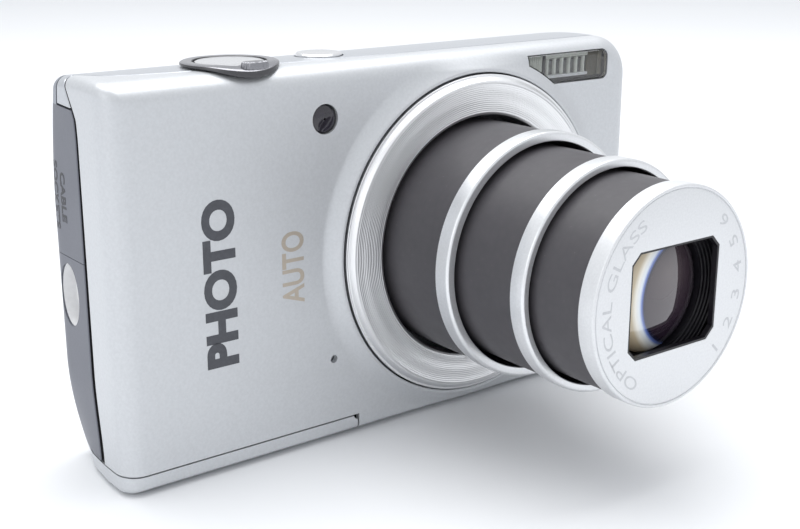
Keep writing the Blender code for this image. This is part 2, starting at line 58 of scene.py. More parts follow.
def span(node):
    """The lowest and highest corner of a CAD node in millimetres."""
    low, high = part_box(node)
    return np.array(low) / MM, np.array(high) / MM


# ---------------------------------------------------------------- driving sizes
WIDTH, HEIGHT, DEPTH = 95.3, 56.5, 19.5
WALL = 0.9
CORNER_RADII = np.array([6.0, 1.6, 1.2, 4.2])
LEAST_CORNER_R, CORNER_EASE = 0.8, 1.2
INSET_REAR = 2.0
GRIP_LOW_BOW, GRIP_LOW_Z = 3.2, 16.0
GRIP_TOP_BOW, GRIP_TOP_Z = 1.3, 36.0
GRIP_BOW_Y, GRIP_BOW_RUN = -1.0, 9.5
FRONT_ROUND, REAR_ROUND = 3.4, 3.0
INSET_SIDE, INSET_TOP, INSET_BOTTOM = 3.0, 2.4, 1.2
CROWN_Y, CROWN_RATE = -3.0, 0.008
FRONT_Y, REAR_Y = -DEPTH / 2, DEPTH / 2
SIDE_PART_Y, TOP_FRONT_Y, TOP_REAR_Y, TOP_PART_Z, SIDE_PART_X = -0.8, -5.65, 5.65, 52.2, 44.6
DOOR_END_X, DOOR_TOP_Z, DOOR_REAR_Y, TERMINAL_Z = -9.15, 2.8, 6.9, 31.3
GAP = 0.3

ring_low, ring_high = span("lens_ring")
LENS_X, LENS_Z = (ring_low[0] + ring_high[0]) / 2, (ring_low[2] + ring_high[2]) / 2
RING_R = (ring_high[0] - ring_low[0]) / 2
RING_FRONT_Y = ring_low[1]
RING_HOLE_R = 19.0
BEAD_FOOT_R, BEAD_LIP_R, BEAD_RISE = 28.6, RING_R + 0.25, 1.1


# ---------------------------------------------------------------- materials
class Look:
    """A Principled material with a small toolkit for procedural patterns in object space."""

    def __init__(self, name, metallic=0.0, roughness=0.5, **sockets):
        self.material = bpy.data.materials.new(name)
        self.material.use_nodes = True
        self.tree = self.material.node_tree
        self.shader = self.tree.nodes["Principled BSDF"]
        self.shader.inputs["Metallic"].default_value = metallic
        self.shader.inputs["Roughness"].default_value = roughness
        for socket, value in sockets.items():
            self.shader.inputs[socket.replace("_", " ")].default_value = value
        self.place = self.tree.nodes.new("ShaderNodeTexCoord").outputs["Object"]
        self.normal = None

    def node(self, kind, **values):
        made = self.tree.nodes.new(kind)
        for key, value in values.items():
            if key in made.inputs:
                made.inputs[key].default_value = value
            else:
                setattr(made, key, value)
        return made

    def link(self, source, target):
        self.tree.links.new(source, target)

    def noise(self, per_mm, detail=2.0, rough=0.5, stretch=None):
        """Noise with about `per_mm` features in a millimetre, stretched along an axis if asked."""
        made = self.node("ShaderNodeTexNoise", Scale=per_mm / MM, Detail=detail, Roughness=rough)
        place = self.place
        if stretch:
            scale = self.node("ShaderNodeMapping", Scale=stretch)
            self.link(place, scale.inputs["Vector"])
            place = scale.outputs["Vector"]
        self.link(place, made.inputs["Vector"])
        return made.outputs["Fac"]

    def ramp(self, fac, *stops):
        """A colour ramp from (position, colour) stops."""
        made = self.node("ShaderNodeValToRGB")
        band = made.color_ramp
        while len(band.elements) < len(stops):
            band.elements.new(0.5)
        for element, (position, colour) in zip(band.elements, stops):
            element.position = position
            element.color = (*colour, 1.0) if len(colour) == 3 else colour
        self.link(fac, made.inputs["Fac"])
        return made.outputs["Color"]

    def colour(self, source):
        self.link(source, self.shader.inputs["Base Color"])
        return self

    def mottle(self, colour, spread, per_mm, detail=2.0, stretch=None):
        """Base colour that varies a little either side of `colour`."""
        dark = [c * (1 - spread) for c in colour]
        light = [min(c * (1 + spread), 1.0) for c in colour]
        return self.colour(self.ramp(self.noise(per_mm, detail, stretch=stretch), (0.3, dark), (0.7, light)))

    def roughness(self, low, high, per_mm, stretch=None):
        made = self.node("ShaderNodeMapRange")
        self.link(self.noise(per_mm, stretch=stretch), made.inputs["Value"])
        made.inputs["To Min"].default_value = low
        made.inputs["To Max"].default_value = high
        self.link(made.outputs["Result"], self.shader.inputs["Roughness"])
        return self

    def bump(self, height, depth_mm, strength=1.0):
        made = self.node("ShaderNodeBump", Distance=depth_mm * MM, Strength=strength)
        self.link(height, made.inputs["Height"])
        if self.normal:
            self.link(self.normal, made.inputs["Normal"])
        self.normal = made.outputs["Normal"]
        self.link(self.normal, self.shader.inputs["Normal"])
        return self


def satin_look(name, colour, metallic, rough, grain=2.6):
    look = Look(name, metallic=metallic)
    look.mottle(colour, 0.035, grain, 3.0)
    look.roughness(rough - 0.04, rough + 0.04, 0.15)
    return look.bump(look.noise(grain, 3.0), 0.006)


def plastic_look(name, colour, rough, grain=1.6, spread=0.08, depth=0.006, **sockets):
    look = Look(name, **sockets)
    look.mottle(colour, spread, grain)
    look.roughness(max(rough - 0.05, 0.02), rough + 0.05, 0.3)
    return look.bump(look.noise(grain * 1.5, 2.0), depth)


def turned_look(name, colour, rough, pitch, depth):
    """Lathe-turned metal about the lens axis: very fine rings in colour and normal, with a little noise in roughness.
    """
    look = Look(name, metallic=1.0, Anisotropic=0.6)
    tangent = look.node("ShaderNodeTangent", direction_type="RADIAL", axis="Y")
    look.link(tangent.outputs["Tangent"], look.shader.inputs["Tangent"])
    shift = look.node("ShaderNodeMapping", Location=(-LENS_X * MM, 0.0, -LENS_Z * MM))
    look.link(look.place, shift.inputs["Vector"])
    wave = look.node("ShaderNodeTexWave", wave_type="RINGS", rings_direction="Y", Scale=1 / (pitch * MM) / 3.2,
                     Distortion=0.6, Detail=2.0)
    look.link(shift.outputs["Vector"], wave.inputs["Vector"])
    dark = [c * 0.93 for c in colour]
    look.colour(look.ramp(wave.outputs["Fac"], (0.2, dark), (0.8, colour)))
    look.roughness(rough - 0.03, rough + 0.03, 0.4)
    return look.bump(wave.outputs["Fac"], depth)


SILVER = (0.60, 0.615, 0.635)
LOOKS = {
    "satin": satin_look("satin_silver", SILVER, 0.55, 0.42),
    "cap": satin_look("cap_silver", (0.74, 0.75, 0.765), 0.5, 0.38, 3.2),
    "rim": satin_look("rim_silver", (0.80, 0.81, 0.825), 0.75, 0.30, 3.2),
    "grey": satin_look("gunmetal_paint", (0.30, 0.32, 0.36), 0.7, 0.36),
    "side": satin_look("side_paint", (0.155, 0.162, 0.19), 0.5, 0.42),
    "strip": satin_look("top_strip_paint", (0.52, 0.54, 0.57), 0.7, 0.34),
    "ring": turned_look("turned_silver", (0.86, 0.865, 0.875), 0.33, 0.14, 0.006),
    "bright": satin_look("bright_metal", (0.83, 0.83, 0.84), 1.0, 0.2, 4.0),
    "nickel": satin_look("dark_nickel", (0.30, 0.30, 0.32), 1.0, 0.24, 4.0),
    "brass": satin_look("warm_seal", (0.72, 0.60, 0.40), 0.6, 0.4, 3.0),
    "steel": satin_look("plain_steel", (0.52, 0.53, 0.55), 1.0, 0.33, 1.5),
    "black": plastic_look("black_plastic", (0.018, 0.018, 0.021), 0.45),
    "inner": plastic_look("inner_black", (0.006, 0.006, 0.008), 0.7),
    "board": plastic_look("solder_mask", (0.02, 0.09, 0.045), 0.35, 0.6, 0.25),
    "cell": plastic_look("sensor_face", (0.03, 0.05, 0.06), 0.1, 2.0, 0.4),
    "label": plastic_look("printed_label", (0.05, 0.055, 0.07), 0.4, 0.5, 0.15),
    "display": plastic_look("display_face", (0.012, 0.013, 0.017), 0.12, 0.4, 0.2, 0.0004),
}


def tube_look():
    """Matt charcoal lens tube with a scatter of dust-sized light specks."""
    look = Look("tube_charcoal", metallic=0.0)
    specks = look.node("ShaderNodeTexVoronoi", Scale=0.9 / MM)
    look.link(look.place, specks.inputs["Vector"])
    shade = look.ramp(specks.outputs["Distance"], (0.0, (0.30, 0.29, 0.30)), (0.035, (0.10, 0.096, 0.102)),
                      (0.05, (0.060, 0.056, 0.063)), (1.0, (0.052, 0.049, 0.055)))
    look.colour(shade)
    look.shader.inputs["Specular IOR Level"].default_value = 0.6
    look.roughness(0.42, 0.52, 0.6)
    return look.bump(look.noise(5.0, 2.0), 0.006)


def glass_look(name, tint, rough=0.03, ior=1.5):
    look = Look(name, roughness=rough, Transmission_Weight=1.0, IOR=ior)
    look.mottle(tint, 0.01, 0.2)
    return look


LOOKS["tube"] = tube_look()
LOOKS["glass"] = glass_look("clear_window", (0.97, 0.98, 0.98))
LOOKS["mark"] = plastic_look("grey_print", (0.065, 0.068, 0.08), 0.4, 2.0, 0.1, 0.002)
LOOKS["gold"] = satin_look("champagne_print", (0.50, 0.44, 0.37), 0.7, 0.35, 4.0)
LOOKS["white"] = plastic_look("white_print", (0.75, 0.76, 0.78), 0.45, 2.0, 0.05, 0.002)
LOOKS["red"] = plastic_look("red_print", (0.65, 0.02, 0.02), 0.4, 2.0, 0.1, 0.002)
LOOKS["engraved"] = plastic_look("engraved_grey", (0.57, 0.58, 0.60), 0.5, 2.0, 0.05, 0.002)
LOOKS["cream"] = plastic_look("cream_diffuser", (0.74, 0.76, 0.70), 0.35, 1.5, 0.06, 0.004, Specular_IOR_Level=0.7)
LOOKS["olive"] = plastic_look("olive_film", (0.11, 0.095, 0.055), 0.3, 1.5, 0.25, 0.004)
LOOKS["cellgrey"] = plastic_look("cell_grey", (0.10, 0.105, 0.10), 0.35, 1.2, 0.5, 0.01)
LOOKS["olive_bar"] = satin_look("olive_metal", (0.22, 0.215, 0.18), 0.6, 0.4, 2.0)
LOOKS["well"] = satin_look("well_silver", (0.78, 0.78, 0.80), 0.4, 0.4, 2.0)


def painted_reflection_glass_look():
    """The front glass: a violet-brown coating tone with a painted sheen, lighter round a point above and right of the
    centre, and a painted reflection, a bright crescent inside its grip-side edge.
    """
    look = Look("glass_with_painted_reflection", roughness=0.04, Coat_Weight=1.0, Coat_Roughness=0.02)
    parts = look.node("ShaderNodeSeparateXYZ")
    look.link(look.place, parts.inputs["Vector"])

    def away(x, z, grow):
        """Distance from a point on the lens plane, in shares of `grow` millimetres."""
        sides = []
        for socket, middle in (("X", x), ("Z", z)):
            less = look.node("ShaderNodeMath", operation="SUBTRACT")
            look.link(parts.outputs[socket], less.inputs[0])
            less.inputs[1].default_value = middle * MM
            square = look.node("ShaderNodeMath", operation="MULTIPLY")
            look.link(less.outputs[0], square.inputs[0])
            look.link(less.outputs[0], square.inputs[1])
            sides.append(square.outputs[0])
        total = look.node("ShaderNodeMath", operation="ADD")
        look.link(sides[0], total.inputs[0])
        look.link(sides[1], total.inputs[1])
        root = look.node("ShaderNodeMath", operation="SQRT")
        look.link(total.outputs[0], root.inputs[0])
        share = look.node("ShaderNodeMath", operation="DIVIDE")
        look.link(root.outputs[0], share.inputs[0])
        share.inputs[1].default_value = grow * MM
        return share.outputs[0]

    # painted sheen: the violet-brown tone is lighter round a point above and right of the centre and darkens towards
    # the rim
    deep = look.ramp(away(LENS_X + 1.8, LENS_Z + 2.5, 12.0), (0.0, (0.090, 0.070, 0.075)), (0.35, (0.050, 0.036, 0.046)),
                     (0.7, (0.028, 0.018, 0.030)), (1.0, (0.020, 0.015, 0.028)))
    # painted reflection: a bright crescent, blue to white to cream, between two offset circles near the grip-side edge
    # of the glass
    inside = away(LENS_X + 4.3, LENS_Z - 0.7, 11.5)
    edge = look.ramp(inside, (0.0, (0, 0, 0)), (0.60, (0, 0, 0)), (0.62, (1, 1, 1)), (1.0, (1, 1, 1)))
    painted_crescent_reflection = look.ramp(inside, (0.60, (0.012, 0.010, 0.02)), (0.635, (0.02, 0.022, 0.06)),
                     (0.665, (0.16, 0.24, 0.60)), (0.70, (0.82, 0.88, 0.95)), (0.76, (0.95, 0.93, 0.85)),
                     (0.82, (0.62, 0.52, 0.36)), (1.0, (0.30, 0.22, 0.15)))
    blend = look.node("ShaderNodeMix", data_type="RGBA")
    look.link(edge, blend.inputs["Factor"])
    look.link(deep, blend.inputs[6])
    look.link(painted_crescent_reflection, blend.inputs[7])
    look.colour(blend.outputs[2])
    return look


LOOKS["coated"] = painted_reflection_glass_look()
LOOKS["cellblack"] = plastic_look("cell_black", (0.010, 0.009, 0.012), 0.3, 2.0, 0.2, 0.003)
LOOKS["dial"] = satin_look("dial_silver", (0.50, 0.505, 0.52), 0.85, 0.34, 4.0)
LOOKS["lampglass"] = plastic_look("lamp_glass", (0.020, 0.017, 0.026), 0.10, 0.8, 0.3, 0.0, Coat_Weight=0.5)
LOOKS["lamprim"] = plastic_look("lamp_rim", (0.006, 0.006, 0.009), 0.35, 2.0, 0.2, 0.002)
LOOKS["lever"] = satin_look("lever_edge", (0.10, 0.10, 0.105), 0.9, 0.28, 4.0)
LOOKS["porcelain"] = plastic_look("well_white", (0.86, 0.86, 0.87), 0.35, 1.5, 0.03, 0.003)
LOOKS["dark_mark"] = plastic_look("dark_print", (0.006, 0.007, 0.013), 0.4, 2.0, 0.2, 0.002)
LOOKS["pane"] = plastic_look("screen_pane", (0.006, 0.006, 0.008), 0.06, 0.5, 0.2, 0.0, Coat_Weight=1.0)
LOOKS["screen"] = plastic_look("screen_off", (0.014, 0.016, 0.024), 0.10, 0.12, 0.35, 0.0, Coat_Weight=1.0)
LOOKS["lampseat"] = satin_look("lamp_seat", (0.16, 0.145, 0.165), 0.5, 0.25, 3.0)


# ---------------------------------------------------------------- mesh helpers
def publish(name, data, look, body, *nodes, finish=None, angle=32):
    """Makes the object, puts it on its body and lets it stand for its CAD nodes."""
    data.shade_smooth()
    data.set_sharp_from_angle(angle=radians(angle))
    obj = bpy.data.objects.new(name, data)
    bpy.context.scene.collection.objects.link(obj)
    marks = np.zeros(len(data.polygons), np.int32)
    data.polygons.foreach_get("material_index", marks)
    data.materials.clear()
    for key in [look] if isinstance(look, str) else look:
        data.materials.append(LOOKS[key].material)
    data.polygons.foreach_set("material_index", np.minimum(marks, len(data.materials) - 1))
    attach(obj, body)
    if nodes:
        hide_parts(*nodes)
    return obj


def raw_mesh(name, points, faces, tags=None):
    """A Blender mesh from millimetre points, with an optional material index per face."""
    data = bpy.data.meshes.new(name)
    data.from_pydata(np.asarray(points, float) * MM, [], [list(map(int, f)) for f in faces])
    if tags is not None:
        data.polygons.foreach_set("material_index", np.asarray(tags, np.int32))
    shape = bmesh.new()
    shape.from_mesh(data)
    bmesh.ops.recalc_face_normals(shape, faces=shape.faces)
    shape.to_mesh(data)
    shape.free()
    data.validate()
    return data


def lofted(name, rows, tags=None, loop=True, close=False, caps=False):
    """Quads between rows of points; `tags` gives each strip between two rows its material index."""
    rows = np.asarray(rows, float)
    count, across = rows.shape[:2]
    faces, marks = [], []
    for k in range(count if close else count - 1):
        upper, lower = k * across, ((k + 1) % count) * across
        tag = tags[k] if tags is not None else 0
        for i in range(across if loop else across - 1):
            j = (i + 1) % across
            faces.append((upper + i, upper + j, lower + j, lower + i))
            marks.append(tag)
    if caps:
        faces += [list(range(across)), list(range((count - 1) * across, count * across))]
        marks += [0, 0]
    return raw_mesh(name, rows.reshape(-1, 3), faces, marks)


def turned_rows(profile, around=256, x=LENS_X, z=LENS_Z):
    """Rows of a lathe about a line along Y from a profile of (radius, y)."""
    angle = np.arange(around) * 2 * pi / around
    return [np.stack([x + r * np.cos(angle), np.full(around, y), z + r * np.sin(angle)], 1) for r, y in profile]


def turned(name, profile, look, body, *nodes, around=256, tags=None, x=LENS_X, z=LENS_Z, close=True, **kind):
    data = lofted(name, turned_rows(profile, around, x, z), tags, close=close)
    return publish(name, data, look, body, *nodes, **kind)


def bead_edge(cx, cy, r, start, stop, n=5):
    """An arc of profile points, angles in degrees."""
    return [(cx + r * cos(radians(a)), cy + r * sin(radians(a))) for a in np.linspace(start, stop, n)]


def settled(obj):
    """The evaluated mesh of an object, with the object and its modifiers removed."""
    bpy.context.view_layer.update()
    graph = bpy.context.evaluated_depsgraph_get()
    data = bpy.data.meshes.new_from_object(obj.evaluated_get(graph))
    bpy.data.objects.remove(obj)
    return data


def carved(data, *steps):
    """A mesh after a list of (operation, mesh) Booleans."""
    for operation, other in steps:
        obj = bpy.data.objects.new("carve", data)
        tool = bpy.data.objects.new("tool", other)
        for thing in (obj, tool):
            bpy.context.scene.collection.objects.link(thing)
        modifier = obj.modifiers.new("carve", "BOOLEAN")
        modifier.operation = operation
        modifier.solver = "MANIFOLD"
        modifier.object = tool
        data = settled(obj)
        bpy.data.objects.remove(tool)
    return data


def prism(outline, low, high, axis="y"):
    """An outline extruded between two planes: (x, z) points along Y, (x, y) along Z or (y, z) along X."""
    order = {"y": (0, 2, 1), "z": (0, 1, 2), "x": (1, 2, 0)}[axis]
    rows = np.zeros((2, len(outline), 3))
    for row, level in zip(rows, (low, high)):
        row[:, order[0]], row[:, order[1]] = np.array(outline).T
        row[:, order[2]] = level
    return lofted("prism", rows, caps=True)


def block(x, y, z):
    return prism([(x[0], z[0]), (x[1], z[0]), (x[1], z[1]), (x[0], z[1])], *y)


def round_outline(cx, cz, wide, tall=None, n=64):
    tall = tall or wide
    return [(cx + wide / 2 * cos(2 * pi * i / n), cz + tall / 2 * sin(2 * pi * i / n)) for i in range(n)]


def rounded(x0, x1, z0, z1, r, n=8):
    points = []
    for cx, cz, start in ((x1 - r, z1 - r, 0), (x0 + r, z1 - r, 90), (x0 + r, z0 + r, 180), (x1 - r, z0 + r, 270)):
        for i in range(n + 1):
            turn = radians(start + 90 * i / n)
            points.append((cx + r * cos(turn), cz + r * sin(turn)))
    return points


# ---------------------------------------------------------------- body skin
ARC, LONG, SHORT = 24, 200, 110


def outline_weights():
    """Places round the outline: shares across and up, and how each corner radius pulls on the point."""
    ends = []
    for k, (right, up) in enumerate(((1, 1), (0, 1), (0, 0), (1, 0))):
        sx, sz = (-1 if right else 1), (-1 if up else 1)
        rows = []
        for a in np.radians(90 * k + np.linspace(0, 90, ARC)):
            pull = np.zeros((2, 4))
            pull[:, k] = sx + cos(a), sz + sin(a)
            rows.append(np.concatenate([[right, up], pull.ravel()]))
        ends.append(rows)
    points = []
    for k, run in enumerate((LONG, SHORT, LONG, SHORT)):
        points += ends[k]
        start, end = ends[k][-1], ends[(k + 1) % 4][0]
        points += [start + f * (end - start) for f in np.linspace(0, 1, run + 2)[1:-1]]
    return np.array(points).T


SKIN = outline_weights()
AROUND = SKIN.shape[1]


def grip_bow(y, z):
    """How far the grip side draws in towards its rear corners."""
    back = np.clip((y - GRIP_BOW_Y) / GRIP_BOW_RUN, 0, 1) ** 1.5
    low = np.clip((GRIP_LOW_Z - z) / GRIP_LOW_Z, 0, None) ** 2
    high = np.clip((z - GRIP_TOP_Z) / (HEIGHT - GRIP_TOP_Z), 0, None) ** 2
    return back * (GRIP_LOW_BOW * low + GRIP_TOP_BOW * high)


def skin(y, lean=0.0, shrink=0.0):
    """One ring of the body's surface at depth y, leaning in by a share of the insets."""
    y = np.broadcast_to(np.asarray(y, float), (AROUND,))
    crown = CROWN_RATE * (y - CROWN_Y) ** 2
    side = shrink + (INSET_SIDE if y.mean() < 0 else INSET_REAR) * lean
    x0, x1 = -WIDTH / 2 + side, WIDTH / 2 - side
    z0, z1 = shrink + INSET_BOTTOM * lean, HEIGHT - shrink - crown - INSET_TOP * lean
    radii = np.maximum(CORNER_RADII - shrink - CORNER_EASE * lean, LEAST_CORNER_R)
    x = x0 + SKIN[0] * (x1 - x0) + radii @ SKIN[2:6]
    z = z0 + SKIN[1] * (z1 - z0) + radii @ SKIN[6:10]
    return np.stack([x + (1 - SKIN[0]) * grip_bow(y, z), y, z], 1)


def grip_side(y, z):
    """X of the grip side's surface at a depth and a height."""
    share = min(max((y - REAR_Y + REAR_ROUND) / REAR_ROUND, 0.0), 1.0)
    return -WIDTH / 2 + INSET_REAR * (1 - sqrt(1 - share * share)) + float(grip_bow(y, z))


def round_over(front=True, shrink=0.0, steps=14):
    """Rings of the rounding from the face's rim to the straight wall."""
    end, depth = (FRONT_Y + shrink, FRONT_ROUND) if front else (REAR_Y - shrink, -REAR_ROUND)
    turns = np.radians(np.linspace(90, 0, steps))
    return [skin(end + depth * (1 - sin(t)), 1 - cos(t), shrink) for t in turns]


def front_parting():
    """Depth of the front cover's edge round the outline: it sweeps back at the grip-side top corner."""
    ring = skin(-3.0)
    x, z = ring[:, 0], ring[:, 2]
    way = np.abs(x + WIDTH / 2 * np.where(x < 0, 1, -1)) - (HEIGHT - z)
    grip = np.interp(way, *zip(*GRIP_PARTING))
    lens_side = np.interp(way, *zip(*LENS_PARTING))
    low = np.clip((16.0 - z) / 14.0, 0, 1)
    return np.where(x < 0, grip - 1.4 * low * low * (3 - 2 * low), lens_side)


# depth of the front cover's edge against the way round its top corners: past 0 along the top, below 0 down the side
GRIP_PARTING = [(-8.0, -1.4), (-5.6, -1.2), (-4.4, -0.5), (-2.9, 0.6), (-1.4, 1.75), (0.2, 2.3), (1.4, 2.0), (2.2, 0.7),
                (2.9, -1.0), (3.7, -2.2), (5.0, -3.0), (8.0, -3.9), (13.0, -4.7), (30.0, -5.1), (47.0, -5.65)]
LENS_PARTING = [(-8.0, -1.2), (-4.5, -1.6), (-1.5, -3.4), (1.5, -4.9), (4.0, -5.4), (12.0, -5.65)]


def bead_height(distance, strength=1.0):
    """Rise of the concave flare round the lens ring at a distance from the lens axis."""
    share = np.clip((BEAD_FOOT_R - distance) / (BEAD_FOOT_R - BEAD_LIP_R - 0.5), 0, 1)
    return strength * BEAD_RISE * share ** 1.8


SHUTTER_LOW, SHUTTER_HIGH = span("shutter_button")
SHUTTER_X, SHUTTER_Y = (SHUTTER_LOW[0] + SHUTTER_HIGH[0]) / 2, (SHUTTER_LOW[1] + SHUTTER_HIGH[1]) / 2
SHUTTER_R, SHUTTER_TOP = (SHUTTER_HIGH[0] - SHUTTER_LOW[0]) / 2, SHUTTER_HIGH[2]
POWER_LOW, POWER_HIGH = span("power_button")
POWER_X, POWER_Y = (POWER_LOW[0] + POWER_HIGH[0]) / 2, (POWER_LOW[1] + POWER_HIGH[1]) / 2
POWER_R = (POWER_HIGH[0] - POWER_LOW[0]) / 2


def button_well():
    return prism(round_outline(SHUTTER_X, SHUTTER_Y, 2 * SHUTTER_R + 0.6, n=96), 50, 60, "z")


def banded(front, rear, inner_rows=3):
    """Closed rows of a band of skin between two edge depths, with eased edges."""
    ease = 0.12
    rows = [skin(front + (rear - front) * s) for s in np.linspace(0.05, 0.95, 7)]
    rows = [skin(front, 0, ease), skin(front + ease)] + rows + [skin(rear - ease), skin(rear, 0, ease)]
    outer = len(rows) - 1
    rows += [skin(rear - (rear - front) * s, 0, WALL) for s in np.linspace(0, 1, inner_rows)]
    return rows, [0] * outer + [1] * (len(rows) - outer)


def make_top_cover():
    corner = np.clip((-40.0 - skin(0.0)[:, 0]) / 4.0, 0, 1)
    front = front_parting() + GAP / 2 + 0.35 * corner
    rows, tags = banded(front, np.full(AROUND, TOP_REAR_Y - GAP / 2))
    data = lofted("top_cover_skin", rows, tags, close=True)
    data = carved(
        data,
        ("INTERSECT", block((-80, 80), (-40, 40), (TOP_PART_Z + GAP / 2, 80))),
        ("DIFFERENCE", button_well()),
        ("DIFFERENCE", prism(round_outline(POWER_X, POWER_Y, 2 * POWER_R + 0.5, n=72), 50, 60, "z")),
    )
    publish("top_cover_skin", data, ["strip", "inner"], "body", "top_cover", finish="grey_plastic")


def wrapped(front):
    """Closed rows of a skin from an edge depth over the rear rounding to the middle of the rear face."""
    ease = 0.12
    wall = REAR_Y - REAR_ROUND
    outer = [skin(front, 0, ease), skin(front + ease)] + [skin(front + (wall - front) * s) for s in (0.3, 0.6, 0.9)]
    outer += round_over(front=False)[::-1]
    inner = [skin(front, 0, WALL), skin(np.full(AROUND, 5.0), 0, WALL)] + round_over(front=False, shrink=WALL)[::-1]
    centre = np.array([0.0, 0.0, 28.0])
    for rows, level in ((outer, REAR_Y), (inner, REAR_Y - WALL)):
        rim = rows[-1]
        for share in (0.97, 0.8, 0.5, 0.2):
            ring = centre + (rim - centre) * share
            ring[:, 1] = level
            rows.append(ring)
    return outer, inner


def cup(name, outer, inner):
    """A shell with a closed bottom: outer and inner rows share the open edge, each ending in a cap."""
    rows = np.array(outer[::-1] + inner)
    tags = [0] * (len(outer) - 1) + [1] * len(inner)
    return lofted(name, rows, tags, caps=True)


def make_rear_cover():
    half = GAP / 2
    data = cup("rear_cover_skin", *wrapped(np.full(AROUND, SIDE_PART_Y + half)))
    far = (-80, 80)
    (x0, _, z0), (x1, _, z1) = span("screen_window")
    (dx0, _, dz0), (dx1, _, dz1) = span("select_ring")
    cuts = [
        block(far, (-40, TOP_REAR_Y + half), (TOP_PART_Z - half, 80)),
        block((-80, DOOR_END_X + half), (-40, DOOR_REAR_Y + half), (-10, DOOR_TOP_Z + half)),
        block((-80, -SIDE_PART_X + half), (-40, 40), (DOOR_TOP_Z + half, TOP_PART_Z - half)),
        prism(rounded(x0 - 0.25, x1 + 0.25, z0 - 0.25, z1 + 0.25, 1.3), 5, 15),
        prism(round_outline((dx0 + dx1) / 2, (dz0 + dz1) / 2, dx1 - dx0 + 0.6, n=96), 5, 15),
    ]
    for key in KEYS:
        (kx0, _, kz0), (kx1, _, kz1) = span(key)
        cuts.append(prism(round_outline((kx0 + kx1) / 2, (kz0 + kz1) / 2, kx1 - kx0 + 0.5), 5, 15))
    for under, room in (("tripod_socket", 0.5), ("bottom_screw_left", 0.4), ("bottom_screw_right", 0.4)):
        (ux0, uy0, _), (ux1, uy1, _) = span(under)
        cuts.append(prism(round_outline((ux0 + ux1) / 2, (uy0 + uy1) / 2, ux1 - ux0 + room), -5, 5, "z"))
    data = carved(data, *[("DIFFERENCE", tool) for tool in cuts])
    publish("rear_cover_skin", data, ["grey", "inner"], "body", "rear_cover", finish="grey_plastic")


KEYS = ("movie_button", "playback_button", "help_button", "menu_button")
SEAM, LOW_SEAM = 0.62, 0.45


def make_side_covers():
    """The grip-side cover and the flap over the terminals, set back from a wide seam with a black sheet inside it as
    painted shade.
    """
    half = GAP / 2
    front = front_parting() + SEAM + LOW_SEAM * np.clip((46.0 - skin(0.0)[:, 2]) / 46.0, 0, 1)
    outer, inner = wrapped(front)
    (_, wy0, wz0), (_, wy1, wz1) = span("side_cover")
    slot_y, slot_z, slot_w, slot_h = 4.8, 25.7, 5.9, 9.1
    slot = [(slot_y + slot_w / 2 * cos(a), slot_z + slot_h / 2 * sin(a)) for a in np.arange(72) * 2 * pi / 72]
    data = carved(
        cup("side_cover_skin", outer, inner),
        ("INTERSECT", block((-80, -SIDE_PART_X - half), (-40, 40), (DOOR_TOP_Z + 2 * half, TERMINAL_Z - 0.04))),
        ("DIFFERENCE", prism(slot, -55, -40, "x")),
    )
    publish("side_cover_skin", data, ["side", "inner"], "body", "side_cover", finish="grey_plastic")
    data = carved(
        cup("terminal_flap_skin", outer, inner),
        ("INTERSECT", block((-80, -SIDE_PART_X - half), (-40, 40), (TERMINAL_Z + 0.04, TOP_PART_Z - half))),
    )
    publish("terminal_flap_skin", data, ["side", "inner"], "terminal_flap", "terminal_cover", finish="grey_plastic")
    # a black sheet inside the seam between front and side covers darkens the gap: painted shade
    edge = front_parting()
    rows = [skin(edge + step, 0, deep) for step, deep in ((-0.6, 0.4), (1.5, 0.4), (1.5, 0.85), (-0.6, 0.85))]
    data = lofted("seam_shade_sheet", rows, None, close=True)
    publish("seam_shade_sheet", data, "inner", "body", finish="black_plastic")


def make_battery_door():
    half = GAP / 2
    (x0, y0, z0), (x1, y1, z1) = span("battery_door")
    wall = FRONT_Y + FRONT_ROUND
    rows = round_over()[::-1]
    outer = [skin(np.full(AROUND, DOOR_REAR_Y - half), 0, 0.1), skin(np.full(AROUND, DOOR_REAR_Y - half - 0.1)),
             skin(np.full(AROUND, 2.0)), skin(np.full(AROUND, -3.0))] + rows
    inner = [skin(np.full(AROUND, DOOR_REAR_Y - half), 0, WALL), skin(np.full(AROUND, -3.0), 0, WALL)]
    inner += round_over(shrink=WALL)[::-1]
    centre = np.array([0.0, 0.0, 28.0])
    for band, level in ((outer, FRONT_Y), (inner, FRONT_Y + WALL)):
        for share in (0.97, 0.8, 0.5):
            ring = centre + (band[-1] - centre) * (share if band is outer else share)
            ring[:, 1] = level
            band.append(ring)
    data = carved(
        cup("battery_door_skin", outer, inner),
        ("INTERSECT", block((-80, DOOR_END_X - half), (-40, 40), (-10, DOOR_TOP_Z - half + 0.08))),
        ("DIFFERENCE", prism(round_outline(DOOR_END_X - half, DOOR_TOP_Z - half + 0.1, 1.3, n=32), -20, -6)),
    )
    publish("battery_door_skin", data, ["satin", "inner"], "door", "battery_door", finish="satin")


